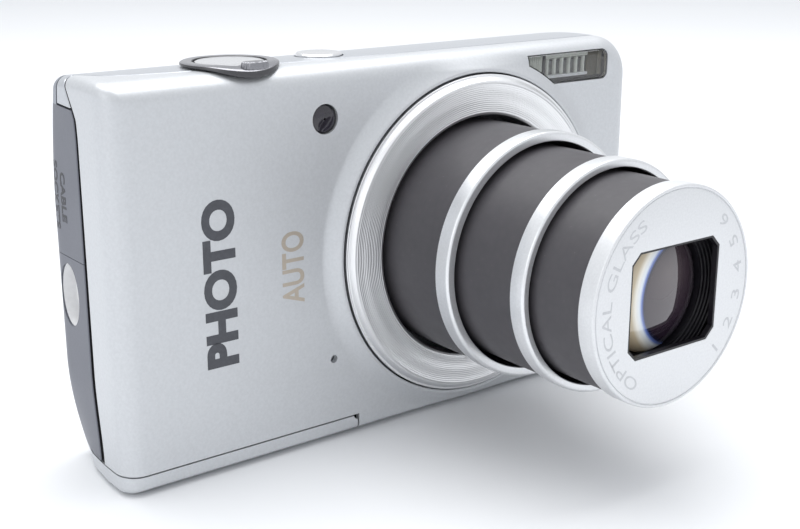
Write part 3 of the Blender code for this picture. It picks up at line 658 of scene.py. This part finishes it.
# ---------------------------------------------------------------- top controls
def make_lever():
    """A thin nickel ring that dips over the front edge, with a ribbed finger knob."""
    low, high = span("zoom_lever")
    inner_r, outer_r, top = 5.12, (high[0] - low[0]) / 2, 57.2
    turns = np.arange(192) * 2 * pi / 192
    toward = -np.sin(turns)

    def ring(radius, level):
        reach = radius + (0.0 if radius < outer_r - 0.6 else 0.35 * np.clip(toward, 0, 1) ** 6)
        return np.stack([SHUTTER_X + reach * np.cos(turns), SHUTTER_Y + reach * np.sin(turns),
                         np.broadcast_to(level, turns.shape)], 1)

    def dip(radius):
        """How far the ring bends down towards the front."""
        return np.clip(radius * toward - 3.2, 0, None) ** 2 * 0.052

    under = 56.66
    rows = []
    for radius, level in ((inner_r, under), (inner_r, top - 0.08), (inner_r + 0.08, top), (outer_r - 0.9, top),
                          (outer_r - 0.25, top - 0.03), (outer_r - 0.05, top - 0.12), (outer_r, top - 0.22)):
        rows.append(ring(radius, level - dip(radius)))
    skirt = 0.42 * np.clip(toward, 0, 1) ** 3
    rows.append(ring(outer_r, under + 0.1 - dip(outer_r) - skirt))
    rows.append(ring(outer_r - 0.12, under - dip(outer_r - 0.1) - skirt))
    rows.append(ring(outer_r - 0.8, under - dip(outer_r - 0.8)))
    data = lofted("zoom_lever_ring", rows, [1, 1, 0, 0, 0, 1, 1, 1, 1, 1], close=True)
    knob_x, knob_y = SHUTTER_X + 0.6, SHUTTER_Y - outer_r + 1.05
    rows = []
    for level, grow in ((56.4, 0.0), (57.25, 0.0), (57.5, -0.08), (57.62, -0.3)):
        outline = []
        for a in turns:
            wave = 0.05 * cos(18 * a)
            outline.append((knob_x + (1.95 + grow + wave) * np.sign(cos(a)) * abs(cos(a)) ** 0.7,
                            knob_y + (1.0 + grow + wave) * np.sign(sin(a)) * abs(sin(a)) ** 0.8, level))
        rows.append(outline)
    knob = lofted("knob", rows, caps=True)
    data = carved(data, ("UNION", knob))
    publish("zoom_lever_ring", data, ["nickel", "lever"], "lever", "zoom_lever", finish="nickel")


def make_buttons_on_top():
    turns = 128
    profile = [(2.9, SHUTTER_LOW[2]), (2.9, 56.5), (SHUTTER_R - 0.05, 56.5), (SHUTTER_R, 56.6), (SHUTTER_R, SHUTTER_TOP - 0.2),
               (SHUTTER_R - 0.06, SHUTTER_TOP - 0.07), (SHUTTER_R - 0.25, SHUTTER_TOP)]
    profile += [(r, SHUTTER_TOP - 0.22 * (1 - (r / SHUTTER_R) ** 2)) for r in (4.0, 3.0, 2.0, 1.0, 0.3)]
    upright_turned("shutter_cap", profile, turns, SHUTTER_X, SHUTTER_Y, "bright", "shutter", "shutter_button", "bright")
    top = POWER_HIGH[2]
    profile = [(POWER_R - 0.1, POWER_LOW[2]), (POWER_R, POWER_LOW[2] + 0.1), (POWER_R, top - 0.2), (POWER_R - 0.2, top)]
    profile += [(r, top - 0.1 * (1 - (r / POWER_R) ** 2)) for r in (2.6, 1.8, 1.0, 0.3)]
    upright_turned("power_cap", profile, turns, POWER_X, POWER_Y, "bright", "power", "power_button", "bright")


def upright_turned(name, profile, around, x, y, look, body, node, finish):
    """A lathe about an upright line from (radius, z) points, capped at both ends."""
    angle = np.arange(around) * 2 * pi / around
    rows = [np.stack([x + r * np.cos(angle), y + r * np.sin(angle), np.full(around, z)], 1) for r, z in profile]
    data = lofted(name, rows, caps=True)
    return publish(name, data, look, body, *([node] if node else []), finish=finish)


def make_front_cover():
    part = front_parting() - GAP / 2
    rim = skin(FRONT_Y + 0.0, 1.0)
    angle = np.arctan2(rim[:, 2] - LENS_Z, rim[:, 0] - LENS_X)
    reach = np.hypot(rim[:, 0] - LENS_X, rim[:, 2] - LENS_Z)
    around = np.stack([np.cos(angle), np.sin(angle)], 1)

    def ring_at(radius, y):
        radius = np.broadcast_to(radius, (AROUND,))
        return np.stack([LENS_X + radius * around[:, 0], np.broadcast_to(y, (AROUND,)), LENS_Z + radius * around[:, 1]], 1)

    lip = FRONT_Y - BEAD_RISE
    rows = [ring_at(BEAD_LIP_R, FRONT_Y + WALL), ring_at(BEAD_LIP_R, lip + 0.12), ring_at(BEAD_LIP_R + 0.12, lip)]
    for share in np.linspace(0, 1, 16)[1:]:
        radius = np.minimum(BEAD_LIP_R + 0.12 + (BEAD_FOOT_R - BEAD_LIP_R - 0.12) * share,
                            BEAD_LIP_R + 0.12 + (reach - 0.15 - BEAD_LIP_R - 0.12) * share)
        rows.append(ring_at(radius, FRONT_Y - bead_height(radius)))
    foot = np.minimum(BEAD_FOOT_R, reach - 0.15)
    for share in np.linspace(0, 1, 9)[1:-1]:
        radius = foot + (reach - foot) * share
        rows.append(ring_at(radius, FRONT_Y - bead_height(radius)))
    for k, ring in enumerate(round_over()):
        lean = (1 - k / 13) ** 1.5
        ring = ring.copy()
        ring[:, 1] -= bead_height(np.hypot(ring[:, 0] - LENS_X, ring[:, 2] - LENS_Z)) * lean
        rows.append(ring)
    wall = rows[-1][0, 1]
    for share in (0.33, 0.66):
        rows.append(skin(wall + (part - 0.1 - wall) * share))
    rows += [skin(part - 0.1), skin(part, 0.0, 0.1)]
    tags = [0] * (len(rows) - 1)
    rows += [skin(part, 0.0, WALL), skin(part * 0 + wall + 0.3, 0.0, WALL)] + round_over(shrink=WALL)[::-1]
    rows += [ring_at(foot - 0.5, FRONT_Y + WALL)]
    tags += [1] * (len(rows) - len(tags))
    data = lofted("front_cover_skin", rows, tags, close=True)
    (ax0, _, az0), (ax1, _, az1) = span("af_window")
    half = GAP / 2
    notch = DOOR_END_X + half
    data = carved(
        data,
        ("DIFFERENCE", block((-80, notch), (-40, 40), (-10, DOOR_TOP_Z + half))),
        ("DIFFERENCE", prism(round_outline((ax0 + ax1) / 2, (az0 + az1) / 2, ax1 - ax0 + 0.3), -20, -6)),
        ("DIFFERENCE", prism(round_outline(-13.5, 12.8, 1.2, n=32), -20, -6)),
        ("DIFFERENCE", prism(flash_outline(0.12), -20, -5.9)),
        ("DIFFERENCE", button_well()),
    )
    publish("front_cover_skin", data, ["satin", "inner"], "body", "front_cover", finish="satin")


# ---------------------------------------------------------------- flash
FLASH_X, FLASH_Z, FLASH_CUT_R = (24.2, 41.8), (49.9, 54.6), 27.7


def flash_outline(grow=0.0):
    """The flash window: round at the right, with its lower left corner cut by the flare's arc."""
    (x0, x1), (z0, z1) = FLASH_X, FLASH_Z
    r = 1.1
    points = []
    for cx, cz, start in ((x1 - r, z0 + r, -90), (x1 - r, z1 - r, 0)):
        for a in np.radians(np.linspace(start, start + 90, 8)):
            points.append((cx + (r + grow) * cos(a), cz + (r + grow) * sin(a)))
    points.append((x0 - grow, z1 + grow))
    for z in np.linspace(z1, z0, 14):
        x = LENS_X + sqrt(FLASH_CUT_R**2 - (z - LENS_Z) ** 2)
        if x > x0:
            points.append((x - grow, z - grow * 0.5))
    return points


def bar(x, width, low, high, front, deep, n=10):
    """An upright half-round bar with its round side forward."""
    arc = [(x + width / 2 * cos(a), front + deep - deep * sin(a)) for a in np.linspace(0, pi, n)]
    return prism(arc, low, high, "z")


def joined(parts):
    """One mesh from (mesh, material index) pairs."""
    whole = bmesh.new()
    for data, mark in parts:
        data.polygons.foreach_set("material_index", np.full(len(data.polygons), mark, np.int32))
        whole.from_mesh(data)
    made = bpy.data.meshes.new("joined")
    whole.to_mesh(made)
    whole.free()
    return made


def make_flash():
    """Clear window over a ribbed diffuser, six reflector cells and an olive end."""
    (x0, x1), (z0, z1) = FLASH_X, FLASH_Z
    glass = carved(lofted("glass", *whole_skin(), close=True), ("INTERSECT", prism(flash_outline(-0.16), -20, -6.2)))
    publish("flash_glass", glass, "glass", "body", "flash_window", finish="clear")
    back = -7.3
    parts = [(block((x0 + 0.2, x1 - 0.2), (back, back + 0.5), (z0 + 0.2, z1 - 0.1)), 0)]
    parts += [(bar(x, 0.36, z0 + 0.7, z1 - 0.4, -8.35, 0.5), 1) for x in np.arange(x0 + 0.5, x0 + 3.8, 0.46)]
    parts.append((block((x0 + 4.05, x0 + 4.35), (-8.5, back), (z0 + 0.2, z1 - 0.2)), 0))
    cell, first = 1.62, x0 + 5.2
    for i in range(6):
        parts.append((bar(first + cell * i, 0.62, z0 + 0.9, z1 - 0.7, -8.3, 0.5), 1))
    for i in range(5):
        mid = first + cell * (i + 0.5)
        parts.append((block((mid - 0.5, mid + 0.5), (-7.75, back), (z0 + 1.35, z1 - 1.15)), 2))
    parts.append((block((x0 + 4.4, first + cell * 5 + 0.6), (-8.35, back), (z1 - 0.75, z1 - 0.35)), 1))
    parts.append((block((x0 + 4.4, first + cell * 5 + 0.6), (-8.5, back), (z0 + 0.75, z0 + 1.2)), 4))
    parts += [(bar(x, 0.26, z0 + 0.5, z1 - 0.3, -8.35, 0.4), 3) for x in np.arange(first + cell * 5 + 0.85, x1 - 1.4, 0.3)]
    parts.append((block((x1 - 1.3, x1 - 0.3), (-8.3, back), (z0 + 0.5, z1 - 0.4)), 3))
    publish("flash_cells", joined(parts), ["black", "cream", "cellgrey", "olive", "white"], "body",
            "flash_reflector", finish="bright")


def whole_skin():
    """Closed rows of the front of the skin, thick enough to cut windows from."""
    rings, inner = round_over(), round_over(shrink=WALL)
    centre = np.array([33.0, 0.0, 50.0])

    def toward_middle(rim, share, level):
        ring = centre + (rim - centre) * share
        ring[:, 1] = level
        return ring

    rows = [toward_middle(rings[0], s, FRONT_Y + 0.1) for s in (0.02, 0.6)]
    rows += [np.array(ring) + [0, 0.1, 0] for ring in rings]
    rows += inner[::-1] + [toward_middle(inner[0], s, FRONT_Y + WALL) for s in (0.6, 0.02)]
    return rows, None


# ---------------------------------------------------------------- small fittings and marks
def make_front_fittings():
    (x0, front, z0), (x1, _, z1) = span("af_window")
    x, z, radius = (x0 + x1) / 2, (z0 + z1) / 2, (x1 - x0) / 2
    dome = [(r, front + 0.02 + 0.25 * (r / radius) ** 2) for r in (0.15, 0.5, 0.9, 1.2, 1.5)]
    profile = [(0.15, -8.6)] + dome + [(radius - 0.12, front + 0.28), (radius - 0.02, front + 0.4), (radius - 0.02, -8.6)]
    data = lofted("af_lamp_lens", turned_rows(profile, 72, x, z), caps=True)
    publish("af_lamp_lens", data, "lampglass", "body", "af_window", finish="clear")
    profile = [(0.2, -8.1), (0.95, -8.15), (1.05, -8.5), (1.25, -8.5), (1.35, -8.1), (radius + 0.1, -8.1),
               (radius + 0.1, -7.9), (0.2, -7.9)]
    turned("af_lamp_seat", profile, "lampseat", "body", around=72, x=x, z=z, finish="black_plastic")
    rim = [(radius - 0.02, front + 0.32), (radius + 0.08, front + 0.22), (radius + 0.14, front + 0.3),
           (radius + 0.14, -8.9), (radius - 0.02, -8.9)]
    turned("af_lamp_rim", rim, "lamprim", "body", around=96, x=x, z=z, finish="black_plastic")


def lettering(name, text, height, look, body, place, finish, thick=0.03, width=None, bold=0.0):
    """Raised print: flat letters set out by `place`, a function from (along, up) to a point and its outward normal."""
    curve = bpy.data.curves.new(name, "FONT")
    curve.body = text
    curve.size = height / 0.72
    curve.resolution_u = 6
    curve.offset = bold
    obj = bpy.data.objects.new(name, curve)
    bpy.context.scene.collection.objects.link(obj)
    flat = settled(obj)
    shape = bmesh.new()
    shape.from_mesh(flat)
    bmesh.ops.dissolve_limit(shape, angle_limit=0.01, verts=shape.verts, edges=shape.edges)
    bmesh.ops.triangulate(shape, faces=shape.faces)
    long = max(v.co.x for v in shape.verts)
    stretch = width / long if width else 1.0
    spread = bmesh.ops.extrude_face_region(shape, geom=shape.faces[:])
    raised = {v for v in spread["geom"] if isinstance(v, bmesh.types.BMVert)}
    for vert in shape.verts:
        point, outward = place(vert.co.x * stretch - (width or long) / 2, vert.co.y - height / 2)
        vert.co = (Vector(point) + Vector(outward) * (thick if vert in raised else -thick)) * MM
    bmesh.ops.recalc_face_normals(shape, faces=shape.faces)
    data = bpy.data.meshes.new(name)
    shape.to_mesh(data)
    shape.free()
    return publish(name, data, look, body, finish=finish)


def make_marks():
    """Generic print in the places where the real camera is marked."""
    def upward(x, z):
        return lambda along, up: ((x - up, FRONT_Y, z + along), (0, -1, 0))

    lettering("front_print_large", "PHOTO", 4.6, "mark", "body", upward(-32.2, 27.8), "black_plastic", width=24.0,
              bold=0.32)
    lettering("front_print_small", "AUTO", 3.6, "gold", "body", upward(-20.4, 28.2), "bright", width=10.6, bold=0.1)

    def downward(y, z):
        def place(along, up):
            depth, height = y - up, z - along
            slope = [grip_side(depth + dy, height + dz) for dy, dz in ((0.05, 0), (-0.05, 0), (0, 0.05), (0, -0.05))]
            normal = Vector((-1, (slope[0] - slope[1]) / 0.1, (slope[2] - slope[3]) / 0.1)).normalized()
            return (grip_side(depth, height), depth, height), normal
        return place

    for name, text, y, long in (("side_print_front", "CABLE", 4.6, 7.0), ("side_print_rear", "SOCKETS", 7.0, 9.6)):
        lettering(name, text, 1.5, "dark_mark", "terminal_flap", downward(y, 39.6), "black_plastic", 0.02, long, 0.06)
    face = span("front_cap")[0][1] + 0.06

    def round_axis(middle, radius, way):
        def place(along, up):
            angle = radians(middle) - way * along / radius
            reach = radius + way * up
            return (LENS_X + reach * cos(angle), face, LENS_Z + reach * sin(angle)), (0, -1, 0)
        return place

    lettering("cap_print_left", "OPTICAL GLASS", 1.7, "engraved", "stage_3", round_axis(180, 12.9, 1), "satin", 0.012, 27.0)
    lettering("cap_print_right", "1  2  3  4  5  6", 1.7, "engraved", "stage_3", round_axis(0, 12.9, -1), "satin", 0.012, 22.0)


# ---------------------------------------------------------------- rear and grip side fittings
def key_cap(name, body, node, dish, look="grey"):
    """A round key with an eased rim and a slightly dished face."""
    (x0, y0, z0), (x1, y1, z1) = span(node)
    radius = (x1 - x0) / 2
    profile = [(radius, y0), (radius, y1 - 0.25), (radius - 0.07, y1 - 0.07), (radius - 0.25, y1)]
    profile += [(r, y1 - dish * (1 - (r / radius) ** 2)) for r in np.linspace(radius - 0.5, 0.1, 7)]
    data = lofted(name, turned_rows(profile, 96, (x0 + x1) / 2, (z0 + z1) / 2), caps=True)
    publish(name, data, look, body, node, finish="grey_plastic")
    return (x0 + x1) / 2, (z0 + z1) / 2, y1 - dish


def make_rear_fittings():
    (x0, y0, z0), (x1, y1, z1) = span("screen_window")
    rows = []
    for inset, level in ((0.0, y0), (0.0, y1 - 0.14), (0.04, y1 - 0.04), (0.14, y1), (0.7, y1)):
        outline = rounded(x0 + inset, x1 - inset, z0 + inset, z1 - inset, 1.2 - min(inset, 0.4), 10)
        rows.append([(x, level, z) for x, z in outline])
    publish("screen_pane", lofted("screen_pane", rows, caps=True), "pane", "body", "screen_window", finish="clear")
    display = prism(rounded(x0 + 2.2, x1 - 2.2, z0 + 2.4, z1 - 2.4, 0.4, 4), y1 - 0.3, y1 + 0.015)
    publish("screen_display", display, "screen", "body", finish="label")
    (x0, y0, z0), (x1, y1, z1) = span("select_ring")
    x, z = (x0 + x1) / 2, (z0 + z1) / 2
    profile = [(4.35, y0), (4.35, y1 - 0.35), (4.5, y1 - 0.15), (5.1, y1 - 0.18), (6.3, y1 - 0.34), (7.5, y1 - 0.12),
               (7.9, y1), (8.12, y1 - 0.08), (8.2, y1 - 0.3), (8.2, y0)]
    turned("select_ring_face", profile, "dial", "select_key", "select_ring", around=192, x=x, z=z, finish="bright")
    for k in range(4):
        turn = radians(90 * k)
        tip, foot = 7.15, 6.35
        corners = [(tip, 0.0), (foot, 0.62), (foot, -0.62)]
        outline = [(x + a * cos(turn) - b * sin(turn), z + a * sin(turn) + b * cos(turn)) for a, b in corners]
        publish(f"select_mark_{k + 1}", prism(outline, y1 - 0.6, y1 - 0.14), "dark_mark", "select_key", finish="label")

    def behind(x, z, level):
        return lambda along, up: ((x - along, level, z + up), (0, 1, 0))

    for node, body, text, height, bold in (("menu_button", "menu_key", "MENU", 0.95, 0.0), ("help_button", "help_key", "?", 2.2, 0.0),
                                           ("set_button", "set_key", "SET", 1.4, 0.04)):
        x, z, level = key_cap(node.replace("button", "cap"), body, node, 0.06)
        lettering(node.replace("button", "print"), text, height, "white", body, behind(x, z, level + 0.02), "label", 0.03, bold=bold)
    x, z, level = key_cap("movie_cap", "movie_key", "movie_button", 0.06)
    publish("movie_dot", prism(round_outline(x, z, 1.9, n=48), level - 0.2, level + 0.05), "red", "movie_key", finish="label")
    x, z, level = key_cap("playback_cap", "playback_key", "playback_button", 0.06)
    arrow = [(x - 0.9, z), (x + 0.6, z + 0.95), (x + 0.6, z - 0.95)]
    publish("playback_arrow", prism(arrow, level - 0.2, level + 0.05), "white", "playback_key", finish="label")


def make_strap_slot():
    """White cup behind the strap opening, with the upright bar the strap loops round."""
    def oval_rows(wide, tall, levels):
        turns = np.arange(96) * 2 * pi / 96
        return [np.stack([np.full(96, x), 4.8 + (wide / 2 + g) * np.cos(turns), 25.7 + (tall / 2 + g) * np.sin(turns)], 1)
                for x, g in levels]

    levels = [(-44.3, -1.8), (-44.3, 0.12), (-47.35, 0.12), (-47.35, -0.08), (-47.1, -0.12), (-45.6, -0.3),
              (-45.2, -0.8), (-45.1, -1.8)]
    data = lofted("strap_cup", oval_rows(5.9, 9.1, levels), caps=True)
    publish("strap_cup", data, "porcelain", "body", "strap_well", finish="bright")
    (_, y0, z0), (_, y1, z1) = span("strap_bar")
    rows = []
    for z, radius in ((z0 - 0.6, 0.7), (z0, 0.78), (z1, 0.78), (z1 + 0.6, 0.7)):
        turns = np.arange(32) * 2 * pi / 32
        rows.append(np.stack([-46.2 + radius * np.cos(turns), 3.3 + radius * np.sin(turns), np.full(32, z)], 1))
    publish("strap_post", lofted("strap_post", rows, caps=True), "olive_bar", "body", "strap_bar", finish="steel")


# ---------------------------------------------------------------- lens
def make_front_element():
    (x0, front, _), (x1, back, _) = span("front_lens")
    radius = (x1 - x0) / 2
    profile = [(radius, back)] + [(radius * sin(a), front + 1.7 * (1 - cos(a))) for a in np.radians(np.linspace(88, 2, 28))]
    data = lofted("front_element", turned_rows(profile, 128), caps=True)
    publish("front_element", data, "coated", "stage_3", "front_lens", finish="clear")
    low, high = span("front_lens_cell")
    front, outer = low[1], (high[0] - low[0]) / 2
    profile = [(radius + 0.12, high[1]), (radius + 0.12, front + 1.5)]
    for step in range(5):
        r = radius + 0.15 + 0.42 * step
        profile += [(r, front + 1.1 - 0.25 * step), (r + 0.3, front + 1.05 - 0.25 * step), (r + 0.36, front + 0.86 - 0.25 * step)]
    profile += [(outer - 2.4, front + 0.02), (outer - 0.1, front), (outer, front + 0.1), (outer, front + 3.8), (9.6, high[1])]
    turned("front_cell_rings", profile, "cellblack", "stage_3", "front_lens_cell", around=160, finish="black_plastic")
    # a black liner inside the window of the cap
    low, _ = span("front_cap")
    liner = carved(prism(window_outline(-0.02), low[1] + 0.12, low[1] + 0.95),
                   ("DIFFERENCE", prism(window_outline(-0.3), low[1] - 2, low[1] + 3)))
    publish("window_liner", liner, "cellblack", "stage_3", finish="black_plastic")


def make_lens_ring():
    outer, front = RING_R, RING_FRONT_Y
    profile = [(RING_HOLE_R, front + 3.3), (RING_HOLE_R, front + 0.5)]
    profile += [(RING_HOLE_R + 0.08, front + 0.2), (RING_HOLE_R + 0.35, front + 0.06)]
    pitch, height = 0.30, 0.022
    start, stop = RING_HOLE_R + 0.5, outer - 1.25
    for r in np.arange(start, stop, pitch / 6):
        profile.append((r, front + height * (1 - cos(2 * pi * (r - start) / pitch)) + 0.02))
    profile += [(stop + 0.02, front), (stop + 0.3, front + 0.03)]
    profile += [(outer - 0.42, front + 0.62), (outer - 0.38, front + 0.8)]
    profile += [(outer - 0.30, front + 0.86), (outer - 0.08, front + 0.86), (outer, front + 0.94), (outer, front + 3.3)]
    turned("lens_ring_face", profile, "ring", "body", "lens_ring", around=360, finish="satin")


def make_stage(number, body, bore, slack):
    """A dark tube with its bright turned rim."""
    (tx0, _, _), (tx1, rear, _) = span(f"tube_{number}")
    (rx0, front, _), (rx1, rim_back, _) = span(f"rim_{number}")
    tube_r, rim_r = (tx1 - tx0) / 2, (rx1 - rx0) / 2
    spigot = rim_r - slack
    profile = [(bore, rear), (tube_r - 0.1, rear), (tube_r, rear + 0.1), (tube_r, rim_back + 0.35),
               (tube_r - 0.12, rim_back + 0.3), (tube_r - 0.12, rim_back + 0.15), (spigot, rim_back + 0.15),
               (spigot, front + 0.75), (bore, front + 0.75)]
    turned(f"tube_{number}_sleeve", profile, "tube", body, f"tube_{number}", finish="tube_black")
    profile = [(bore, front + 0.6), (bore, front + 0.1), (bore + 0.08, front + 0.02), (bore + 0.2, front)]
    profile += [(rim_r - 0.45, front)] + bead_edge(rim_r - 0.4, front + 0.4, 0.4, -90, 0)
    profile += [(rim_r, rim_back - 0.12), (rim_r - 0.12, rim_back), (spigot + 0.1, rim_back), (spigot + 0.1, front + 0.6)]
    turned(f"rim_{number}_band", profile, "rim", body, f"rim_{number}", finish="bright")


def window_outline(grow=0.0, wide=17.2, tall=14.8, cut=1.5):
    w, h, c = wide / 2 + grow, tall / 2 + grow, cut + 0.4 * grow
    corners = [(w, h - c), (w - c, h), (c - w, h), (-w, h - c), (-w, c - h), (c - w, -h), (w - c, -h), (w, c - h)]
    return [(LENS_X + x, LENS_Z + z) for x, z in corners]


def make_cap():
    (tx0, _, _), (tx1, rear, _) = span("tube_3")
    (rx0, front, _), (rx1, rim_back, _) = span("front_cap")
    tube_r, rim_r = (tx1 - tx0) / 2, (rx1 - rx0) / 2
    bore, spigot = 14.2, 14.65
    profile = [(bore, rear), (tube_r - 0.1, rear), (tube_r, rear + 0.1), (tube_r, rim_back + 0.15),
               (spigot, rim_back + 0.15), (spigot, front + 0.95), (bore, front + 0.95)]
    turned("tube_3_sleeve", profile, "tube", "stage_3", "tube_3", finish="tube_black")
    profile = [(1.0, front + 0.06), (rim_r - 0.75, front + 0.06), (rim_r - 0.62, front + 0.10), (rim_r - 0.55, front + 0.22),
               (rim_r - 0.48, front + 0.22), (rim_r - 0.42, front + 0.06), (rim_r - 0.32, front)]
    profile += bead_edge(rim_r - 0.3, front + 0.3, 0.3, -90, 0)
    profile += [(rim_r, rim_back - 0.12), (rim_r - 0.12, rim_back), (spigot + 0.1, rim_back),
                (spigot + 0.1, front + 0.8), (1.0, front + 0.8)]
    data = lofted("cap_face", turned_rows(profile, 256), None, close=True)
    data = carved(data, ("DIFFERENCE", prism(window_outline(), front - 2, front + 2)))
    publish("cap_face", data, "cap", "stage_3", "front_cap", finish="satin")


# ---------------------------------------------------------------- stage, lights and camera
CAMERA_AT = (-0.1130, -0.1556, 0.0795)
YAW, PITCH, ROLL = 37.47, 16.45, 0.08
LENS_LENGTH = 56.97


def make_camera():
    ahead = Vector((sin(radians(YAW)) * cos(radians(PITCH)), cos(radians(YAW)) * cos(radians(PITCH)), -sin(radians(PITCH))))
    right = ahead.cross(Vector((0, 0, 1))).normalized()
    up = right.cross(ahead)
    tilt = radians(ROLL)
    side, top = right * cos(tilt) + up * sin(tilt), up * cos(tilt) - right * sin(tilt)
    camera = bpy.data.cameras.new("view")
    camera.lens = LENS_LENGTH
    camera.sensor_width = 36.0
    camera.clip_start = 0.01
    obj = bpy.data.objects.new("view", camera)
    bpy.context.scene.collection.objects.link(obj)
    obj.matrix_world = Matrix.Translation(CAMERA_AT) @ Matrix((side, top, -ahead)).transposed().to_4x4()
    bpy.context.scene.camera = obj


def area_light(name, at, aim, size, power, colour=(1.0, 1.0, 1.0)):
    light = bpy.data.lights.new(name, "AREA")
    light.shape = "RECTANGLE"
    light.size, light.size_y = size
    light.energy = power
    light.color = colour
    obj = bpy.data.objects.new(name, light)
    bpy.context.scene.collection.objects.link(obj)
    obj.location = at
    obj.rotation_euler = (Vector(aim) - Vector(at)).to_track_quat("-Z", "Y").to_euler()
    return obj


def make_stage_and_light():
    floor = bpy.data.meshes.new("floor")
    half = 4.0
    floor.from_pydata([(-half, -half, 0), (half, -half, 0), (half, half, 0), (-half, half, 0)], [], [(0, 1, 2, 3)])
    obj = bpy.data.objects.new("floor", floor)
    bpy.context.scene.collection.objects.link(obj)
    look = Look("floor_paper", roughness=0.6)
    look.mottle((0.86, 0.87, 0.885), 0.004, 0.01)
    floor.materials.append(look.material)
    obj.location.z = -0.0002
    world = bpy.data.worlds.new("tent")
    bpy.context.scene.world = world
    world.use_nodes = True
    tent = world.node_tree.nodes["Background"]
    tent.inputs["Color"].default_value = (0.95, 0.97, 1.0, 1.0)
    tent.inputs["Strength"].default_value = 0.90
    area_light("overhead", (0.05, 0.12, 0.60), (0, 0, 0), (0.7, 0.5), 3.2)
    area_light("left_card", (-0.6, -0.2, 0.3), (0, 0, 0.03), (0.4, 0.4), 0.4)
    view = bpy.context.scene.view_settings
    view.view_transform = "Standard"
    view.look = "None"
    view.exposure = 0.0


make_camera()
make_stage_and_light()
make_front_cover()
make_top_cover()
make_rear_cover()
make_side_covers()
make_battery_door()
make_lever()
make_buttons_on_top()
make_flash()
make_front_fittings()
make_rear_fittings()
make_strap_slot()
make_marks()
make_front_element()
make_lens_ring()
make_stage(1, "stage_1", 17.1, 18.5 - 17.75)
make_stage(2, "stage_2", 15.6, 16.75 - 16.05)
make_cap()

NODE_LOOKS = {
    "black_plastic": "black", "steel": "steel", "board": "board", "cell": "cell", "label": "label",
    "satin": "satin", "grey_plastic": "grey", "bright": "bright", "nickel": "nickel", "clear": "glass",
    "tube_black": "tube",
}
slots = {s["node"]: s["material_slot"] for s in frame["record"]["subparts"]}
for name, node in frame["nodes"].items():
    for place in node.material_slots:
        place.material = LOOKS[NODE_LOOKS[slots[name]]].material
